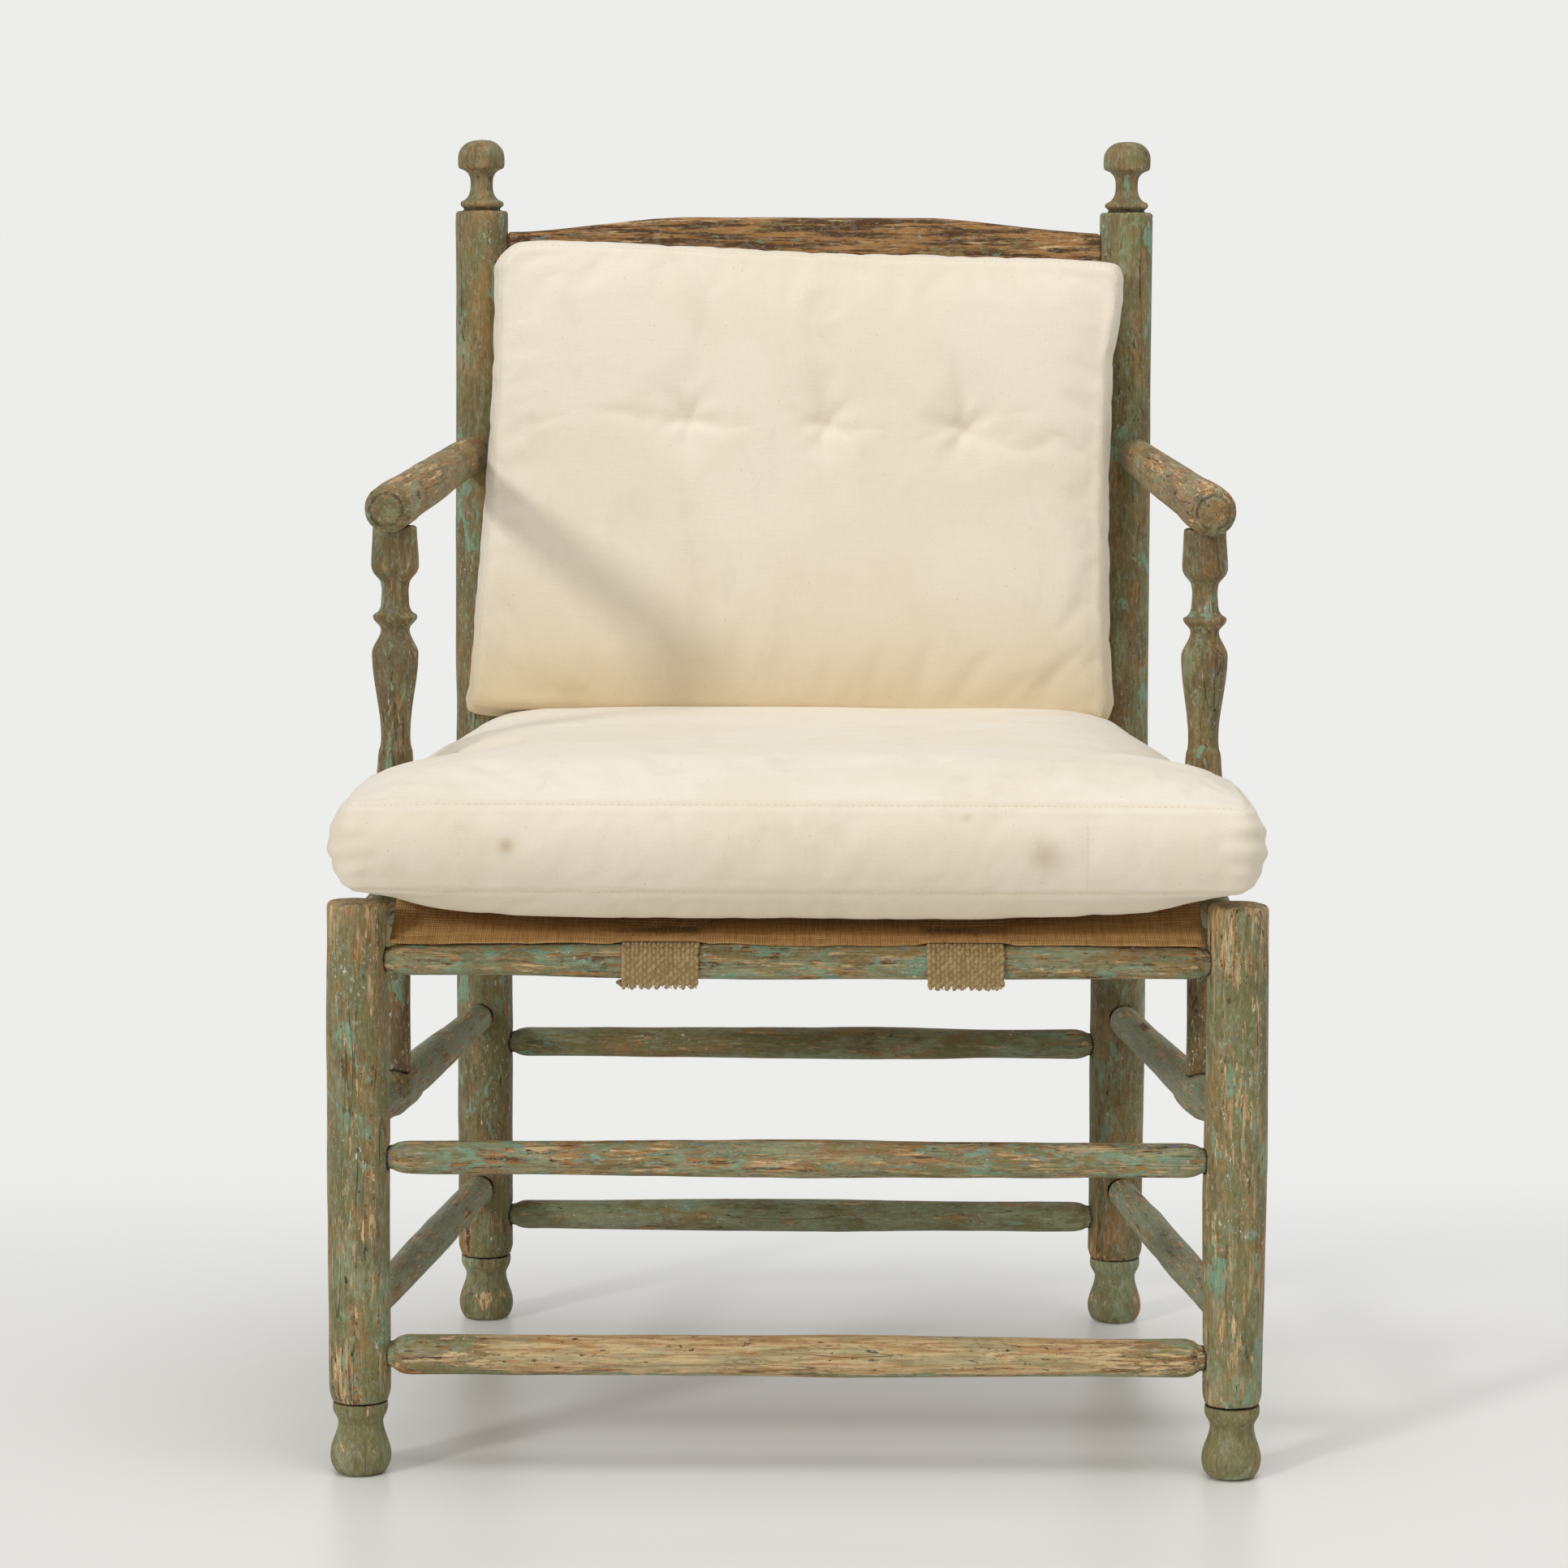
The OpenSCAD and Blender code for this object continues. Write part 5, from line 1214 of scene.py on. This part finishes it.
class CHAIR_OT_seat_cushion(bpy.types.Operator):
    """Makes the boxed seat cushion with its seams, puckers and stitches"""
    bl_idname = "chair.seat_cushion"
    bl_label = "Seat cushion"

    def execute(self, context):
        settings = context.scene.chair_cloth
        lines, joins = seat_seams(settings)
        obj = remeshed_copy("seat_cushion", settings.voxel * (1), "Seat_cushion")
        below = solid_surface("seat_cushion")
        distance, _ = seam_distances(coordinates(obj.data), lines)
        filled(obj, distance, settings)
        self.rest(obj, below, settings)
        subdivided(obj)
        place(obj.data, self.widened(self.crowned(coordinates(obj.data), settings)))
        lines = [self.widened(line) for line in lines]
        self.crease(obj)
        distance, run = seam_distances(coordinates(obj.data), lines)
        gathered(obj, distance, run, settings, 11)
        points = coordinates(obj.data)
        join_distance, _ = seam_distances(points, joins)
        groove = 0.0012 * np.exp(-(join_distance / 0.003) ** 2)
        place(obj.data, points - coordinates(obj.data, "normal") * groove[:, None])
        self.rest(obj, below, settings, sag=0.0065)
        points = coordinates(obj.data)
        attribute(obj.data, "seam", np.maximum(seam_shade(distance), seam_shade(join_distance)))
        # Painted shade over an even yellowing: the cloth is lighter on the upward faces and darker and
        # warmer on the underside below the lower seam
        under = np.clip((settings.seat_seam_low - points[:, 2]) / 0.02, 0, 1)
        upward = coordinates(obj.data, "normal")[:, 2]
        attribute(obj.data, "yellowing_and_shade", 0.26 - 0.24 * ramp(upward, 0.3, 0.9) + 0.22 * under)
        attribute(obj.data, "spot", spots_at(points, SEAT_SPOTS))
        cloth = calico_cloth("calico, unbleached plain weave cotton, seat", settings)
        stitches = seam_stitches(lines + joins, obj, yarn_tree(), settings, linen_thread(settings),
                                 "Seat_cushion_stitches")
        finish_piece(obj, "seat_cushion", cloth, "seat_pad")
        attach(stitches, "seat_pad")
        return {"FINISHED"}

    def crowned(self, points, settings):
        """A fuller top, most of all towards the rear and at its sides."""
        crown = points[:, 2].max() - settings.seat_seam_high
        share = np.clip((points[:, 2] - settings.seat_seam_high) / crown, 0, 1)
        towards_rear = ramp(points[:, 1], -0.10, 0.06)
        at_side = ramp(np.abs(points[:, 0]), 0.16, 0.25) * ramp(points[:, 1], -0.12, -0.02)
        fuller = 1 - (1 - share) ** (1.15 + 0.65 * towards_rear + 1.5 * at_side)
        points[:, 2] += (fuller - share) * crown
        return points

    def widened(self, points, swell=0.022):
        """The soft rear swells out sideways behind the arm supports."""
        moved = points.copy()
        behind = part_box("arm_support_left")[1][1] + 0.004
        out = swell * ramp(points[:, 1], behind - 0.002, behind + 0.022)
        out *= 1 - 0.5 * ramp(points[:, 1], 0.12, 0.24)
        moved[:, 0] += np.sign(points[:, 0]) * out * np.clip((np.abs(points[:, 0]) - 0.10) / 0.16, 0, 1)
        return moved

    def crease(self, obj):
        """Soft creases that run over the top from the notches for the arm supports, and slack folds
        at the cushion's ends."""
        points = coordinates(obj.data)
        normals = coordinates(obj.data, "normal")
        move = np.zeros(len(points))
        for deep, line in (
                (0.0042, ((-0.284, -0.062), (-0.233, -0.043), (-0.186, -0.008), (-0.150, 0.0))),
                (0.0026, ((0.286, -0.052), (0.262, -0.036), (0.240, -0.030)))):
            path = resampled(line, 0.004)
            away = np.min([np.hypot(points[:, 0] - x, points[:, 1] - y) + 0.006 * i / len(path)
                           for i, (x, y) in enumerate(path)], axis=0)
            along = np.clip((np.abs(points[:, 0]) - abs(path[-1][0])) / 0.05, 0, 1)
            move -= deep * np.exp(-(away / 0.008) ** 2) * (0.25 + 0.75 * along)
            move += 0.3 * deep * np.exp(-((away - 0.02) / 0.010) ** 2) * along
        move *= ramp(normals[:, 2], 0.2, 0.6)
        # Slack folds run in from the cushion's ends, over the front corners of its boxing
        bent = points[:, 2] + 0.010 * lattice_noise(points, 0.05, 91)
        folds = np.sin(bent * 2 * math.pi / 0.017) * (0.6 + 0.6 * lattice_noise(points, 0.03, 92))
        end = ramp(np.abs(points[:, 0]), 0.285, 0.318) * ramp(-points[:, 1], 0.13, 0.22)
        move += 0.0013 * folds * end * ramp(0.60 - np.abs(normals[:, 2]), 0.0, 0.4)
        place(obj.data, points + normals * move[:, None])

    def rest(self, obj, below, settings, sag=0.0):
        """Keeps the cushion's underside on what carries it, where its solid lies."""
        points = coordinates(obj.data)
        carried(points, points[:, 2] < settings.seat_seam_low + 0.004, below, 0.30, 0.012)
        # In front of the rail, between the legs, nothing carries it and it hangs a little
        hang = ramp(-points[:, 1], 0.236, 0.262) * ramp(0.296 - np.abs(points[:, 0]), 0.0, 0.035)
        hang *= ramp(settings.seat_seam_low - points[:, 2], 0.0, 0.016)
        points[:, 2] -= sag * hang
        place(obj.data, points)


# How far the back cushion reaches to each side, at heights from the floor
BACK_LEFT = ((0.536, 0.2679), (0.575, 0.2650), (0.633, 0.2598), (0.700, 0.2550), (0.769, 0.2500),
             (0.828, 0.2483), (0.867, 0.2480))
BACK_RIGHT = ((0.536, 0.2489), (0.600, 0.2465), (0.698, 0.2458), (0.800, 0.2500), (0.828, 0.2552),
              (0.845, 0.2575), (0.867, 0.2550))


class CHAIR_OT_back_cushion(bpy.types.Operator):
    """Makes the boxed back cushion with its three sewn tufts"""
    bl_idname = "chair.back_cushion"
    bl_label = "Back cushion"

    def execute(self, context):
        settings = context.scene.chair_cloth
        to_world = self.standing(settings)
        to_local = to_world.inverted()
        half_w = settings.back_width / 2 - 0.0054
        half_h = settings.back_height / 2 - 0.0054
        lines = []
        for facing in (-1, 1):
            corners = [(-1, -1), (1, -1), (1, 1), (-1, 1), (-1, -1)]
            loop = []
            for (u0, v0), (u1, v1) in zip(corners[:-1], corners[1:]):
                for i in range(200):
                    u = u0 + (u1 - u0) * i / 200
                    v = v0 + (v1 - v0) * i / 200
                    x = u * (half_w - 0.006 * v - 0.003 * (1 - v * v)) * (1 - 0.025 * v ** 12)
                    z = v * (half_h - 0.003 * (1 - u * u)) * (1 - 0.025 * u ** 12)
                    loop.append(to_world @ Vector((x, facing * settings.back_thickness / 2, z)))
            lines.append(resampled(loop + loop[:1], SEAM_STEP))
        tufts = [to_world @ Vector((0.019 + i * 0.110, -settings.back_thickness / 2 - 0.008, 0.045))
                 for i in (-1, 0, 1)]
        obj = remeshed_copy("back_cushion", settings.voxel * (0.85),
                            "Back_cushion")
        below = solid_surface("back_cushion")
        points = coordinates(obj.data)
        distance, _ = seam_distances(points, lines)
        filled(obj, np.minimum(distance, self.tuft_distance(points, tufts) + 0.002), settings)
        self.rest(obj, below)
        subdivided(obj)
        points = coordinates(obj.data)
        place(obj.data, self.fitted(points, points))
        lines = [self.fitted(line, points) for line in lines]
        distance, run = seam_distances(coordinates(obj.data), lines)
        gathered(obj, distance, run, settings, 31)
        self.draw_tufts(obj, tufts)
        points = coordinates(obj.data)
        local = np.array([to_local @ Vector(p) for p in points])
        attribute(obj.data, "seam", seam_shade(distance))
        # Partly yellowing and partly painted shade: the cloth is darker and warmer towards the bottom,
        # with uneven clouds low down
        low = np.clip((-local[:, 2] - 0.05) / (half_h - 0.05), 0, 1)
        attribute(obj.data, "yellowing_and_shade", 0.18 + 0.75 * low ** 1.6
                  + 0.10 * lattice_noise(points, 0.06, 3) * np.clip(low * 3, 0, 1))
        # The cloth is darker at each tuft, where it is pulled in
        attribute(obj.data, "spot", spots_at(points, [(tuple(t), 0.004, 0.35) for t in tufts]))
        cloth = calico_cloth("calico, unbleached plain weave cotton, back", settings)
        stitches = seam_stitches(lines[:1], obj, yarn_tree(), settings, linen_thread(settings),
                                 "Back_cushion_stitches")
        finish_piece(obj, "back_cushion", cloth, "back_pad")
        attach(stitches, "back_pad")
        return {"FINISHED"}

    def standing(self, settings):
        """The cushion's own frame: x across, -y to the sitter, z up along its lean."""
        middle = Vector((-0.001, 0.20332, 0.70044))
        lean = Matrix.Rotation(-settings.back_lean, 4, "X")
        turn = Matrix.Rotation(settings.back_turn, 4, "Y")
        return Matrix.Translation(middle) @ lean @ turn

    def fitted(self, points, cover):
        """Stretches points to the cushion's outline as the sitter sees it: its width at each height,
        its round corners and its foot, which sinks towards the seat most at the left."""
        heights = np.linspace(cover[:, 2].min(), cover[:, 2].max(), 46)
        rows = np.clip(np.searchsorted(heights, cover[:, 2]) - 1, 0, len(heights) - 2)
        middles = (heights[1:] + heights[:-1]) / 2
        low, high = heights[0], heights[-1]
        moved = points.copy()
        for side, outline in ((-1, BACK_LEFT), (1, BACK_RIGHT)):
            reach = np.array([(side * cover[rows == r, 0]).max() for r in range(len(middles))])
            reach = np.convolve(np.pad(reach, 2, mode="edge"), np.full(5, 0.2), "valid")
            wanted = np.interp(middles, [z for z, _ in outline], [x for _, x in outline])
            # The corners keep their round shape
            ends = ramp(middles, low, low + 0.02) * ramp(-middles, -high, 0.02 - high)
            share = 1 + np.clip(wanted / reach - 1, -0.01, 0.045) * ends
            here = side * points[:, 0] > 0
            moved[here, 0] *= np.interp(points[here, 2], middles, share)
        across = np.clip(points[:, 0] / 0.25, -1, 1)
        sink = 0.0065 - 0.0055 * across
        moved[:, 2] -= sink * np.clip((low + 0.22 - points[:, 2]) / 0.22, 0, 1) ** 1.5
        # Each corner is pushed out on its slant
        for side, upper in ((-1, False), (1, False), (-1, True), (1, True)):
            corner = np.array([side * 0.252, high - 0.010 * side if upper else low])
            away = points[:, (0, 2)] - corner
            push = 0.0040 * np.exp(-(np.linalg.norm(away, axis=1) / 0.022) ** 2)
            moved[:, 0] += side * push * 0.7
            moved[:, 2] += push * 0.7 * (1 if upper else -1)
        return moved

    def tuft_distance(self, points, tufts):
        """Distance from the nearest tuft."""
        return np.min([np.linalg.norm(points - np.array(t), axis=1) for t in tufts], axis=0)

    def draw_tufts(self, obj, tufts):
        """Pulls each tuft in, with short folds that run out from it."""
        points = coordinates(obj.data)
        normals = coordinates(obj.data, "normal")
        move = np.zeros(len(points))
        for number, tuft in enumerate(tufts):
            away = points - np.array(tuft)
            far = np.linalg.norm(away, axis=1)
            angle = np.arctan2(away[:, 2], away[:, 0])
            move -= 0.0045 * np.exp(-(far / 0.010) ** 2)
            move += 0.0011 * np.sin(angle * 5 + number) * np.exp(-((far - 0.016) / 0.012) ** 2)
        place(obj.data, points + normals * move[:, None])

    def rest(self, obj, below):
        """Keeps the cushion's foot on the seat cushion, where its solid lies."""
        points = coordinates(obj.data)
        carried(points, points[:, 2] < points[:, 2].min() + 0.03, below, 0.40, 0.004)
        place(obj.data, points)


# Stage

class CHAIR_OT_stage(bpy.types.Operator):
    """Makes the floor, the room's light, the soft lamps and the camera"""
    bl_idname = "chair.stage"
    bl_label = "Stage"

    def execute(self, context):
        settings = context.scene.chair_stage
        self.floor(settings)
        self.room(context.scene, settings)
        front_left, overhead = (-2.41, -2.84, 1.90), (0.4, -0.9, 3.2)
        key = self.lamp("Key_lamp", "SUN", front_left, (0.0, 0.0, 0.45), settings.key)
        key.angle = settings.key_angle
        fill = self.lamp("Top_lamp", "AREA", overhead, (0.0, 0.0, 0.3), settings.fill_power)
        fill.shape = "DISK"
        fill.size = 2.6
        self.camera(context.scene)
        context.scene.view_settings.view_transform = "Standard"
        return {"FINISHED"}

    def shown(self, tree):
        """1 for the rays that show the room itself: to the camera, in reflections and through glass."""
        ray = node(tree, "ShaderNodeLightPath").outputs
        seen = maths(tree, "MAXIMUM", ray["Is Camera Ray"], ray["Is Glossy Ray"])
        return maths(tree, "MAXIMUM", seen, ray["Is Transmission Ray"])

    def floor(self, settings):
        """A level studio floor that fades into the room's colour behind the chair."""
        mesh = bpy.data.meshes.new("Floor")
        half = 9
        mesh.from_pydata([(-half, -half, 0), (half, -half, 0), (half, half, 0), (-half, half, 0)], [],
                         [(0, 1, 2, 3)])
        # Smooth studio paint that mirrors a little. Behind the chair it shows the room's own colour
        material, tree, shader = new_material("painted studio floor", Roughness=0.35,
                                              Specular_IOR_Level=0.3)
        where = node(tree, "ShaderNodeTexCoord", None, "Object")
        depth = node(tree, "ShaderNodeSeparateXYZ", {0: where}, 1)
        far = node(tree, "ShaderNodeMapRange", {0: depth, 1: 0.0, 2: 1.0}, 0,
                   interpolation_type="SMOOTHSTEP")
        tone = mixed(tree, far, settings.floor, settings.backdrop)
        tree.links.new(tone, shader.inputs["Base Color"])
        share = maths(tree, "MULTIPLY", self.shown(tree), far)
        plain = node(tree, "ShaderNodeEmission", {"Color": settings.backdrop, "Strength": 1.0}, 0)
        both = node(tree, "ShaderNodeMixShader", {0: share, 1: shader.outputs[0], 2: plain}, 0)
        output = next(n for n in tree.nodes if n.type == "OUTPUT_MATERIAL")
        tree.links.new(both, output.inputs["Surface"])
        mesh.materials.append(material)
        new_object("Floor", mesh)

    def room(self, scene, settings):
        """The room's even light, seen by the camera as the plain backdrop colour."""
        world = scene.world or bpy.data.worlds.new("Room")
        scene.world = world
        world.use_nodes = True
        tree = world.node_tree
        tree.nodes.clear()
        light = node(tree, "ShaderNodeBackground", {"Color": (1.0, 1.0, 1.0, 1.0),
                                                    "Strength": settings.world}, 0)
        plain = node(tree, "ShaderNodeBackground", {"Color": settings.backdrop, "Strength": 1.0}, 0)
        both = node(tree, "ShaderNodeMixShader", {0: self.shown(tree), 1: light, 2: plain}, 0)
        node(tree, "ShaderNodeOutputWorld", {"Surface": both})

    def lamp(self, name, kind, where, aim, strength):
        """One lamp that shines at a place."""
        light = bpy.data.lights.new(name, kind)
        light.energy = strength
        obj = bpy.data.objects.new(name, light)
        bpy.context.scene.collection.objects.link(obj)
        obj.location = where
        obj.rotation_euler = (Vector(aim) - Vector(where)).to_track_quat("-Z", "Y").to_euler()
        return light

    def camera(self, scene):
        """The photograph's viewpoint: 3.3 m in front, 0.88 m up, looking a little down."""
        where = (0.02299, -3.55929, 0.88389)
        yaw, pitch, roll = -0.00985, 0.11309, 0.00298
        focal, width = 5760.27, 1932    # the lens and the photograph's width, in its pixels
        ahead = Vector((math.sin(yaw) * math.cos(pitch), math.cos(yaw) * math.cos(pitch),
                        -math.sin(pitch)))
        right = Vector((math.cos(yaw), -math.sin(yaw), 0.0))
        up = right.cross(ahead)
        across = math.cos(roll) * right + math.sin(roll) * up
        upright = -math.sin(roll) * right + math.cos(roll) * up
        lens = bpy.data.cameras.new("Camera")
        lens.sensor_width = 36.0
        lens.lens = 36.0 * focal / width
        obj = bpy.data.objects.new("Camera", lens)
        scene.collection.objects.link(obj)
        turn = Matrix((across, upright, -ahead)).transposed().to_4x4()
        obj.matrix_world = Matrix.Translation(where) @ turn
        scene.camera = obj


class CHAIR_PT_panel(bpy.types.Panel):
    """Lists the chair's sizes, colours and pieces"""
    bl_idname = "CHAIR_PT_panel"
    bl_label = "Ladder-back armchair"
    bl_space_type = "VIEW_3D"
    bl_region_type = "UI"
    bl_category = "Chair"

    def draw(self, context):
        for group in GROUPS:
            box = self.layout.box()
            box.label(text=group.replace("_", " ").capitalize())
            settings = getattr(context.scene, group)
            for name in settings.__annotations__:
                box.prop(settings, name)
        for operator in OPERATORS:
            self.layout.operator(operator.bl_idname)


GROUPS = {"chair_wood": ChairWoodSettings, "chair_cloth": ChairClothSettings,
          "chair_webbing": ChairWebbingSettings, "chair_stage": ChairStageSettings}
OPERATORS = (CHAIR_OT_stage, CHAIR_OT_legs_and_posts, CHAIR_OT_feet, CHAIR_OT_rungs, CHAIR_OT_arms,
             CHAIR_OT_back_boards, CHAIR_OT_webbing, CHAIR_OT_hessian, CHAIR_OT_seat_cushion,
             CHAIR_OT_back_cushion)


def register():
    for group in GROUPS.values():
        bpy.utils.register_class(group)
    for operator in OPERATORS:
        bpy.utils.register_class(operator)
    bpy.utils.register_class(CHAIR_PT_panel)
    for name, group in GROUPS.items():
        setattr(bpy.types.Scene, name, PointerProperty(type=group))


def unregister():
    for name in GROUPS:
        delattr(bpy.types.Scene, name)
    bpy.utils.unregister_class(CHAIR_PT_panel)
    for operator in reversed(OPERATORS):
        bpy.utils.unregister_class(operator)
    for group in reversed(list(GROUPS.values())):
        bpy.utils.unregister_class(group)


def main():
    register()
    for operator in OPERATORS:
        family, name = operator.bl_idname.split(".")
        getattr(getattr(bpy.ops, family), name)()


if __name__ == "__main__":
    main()
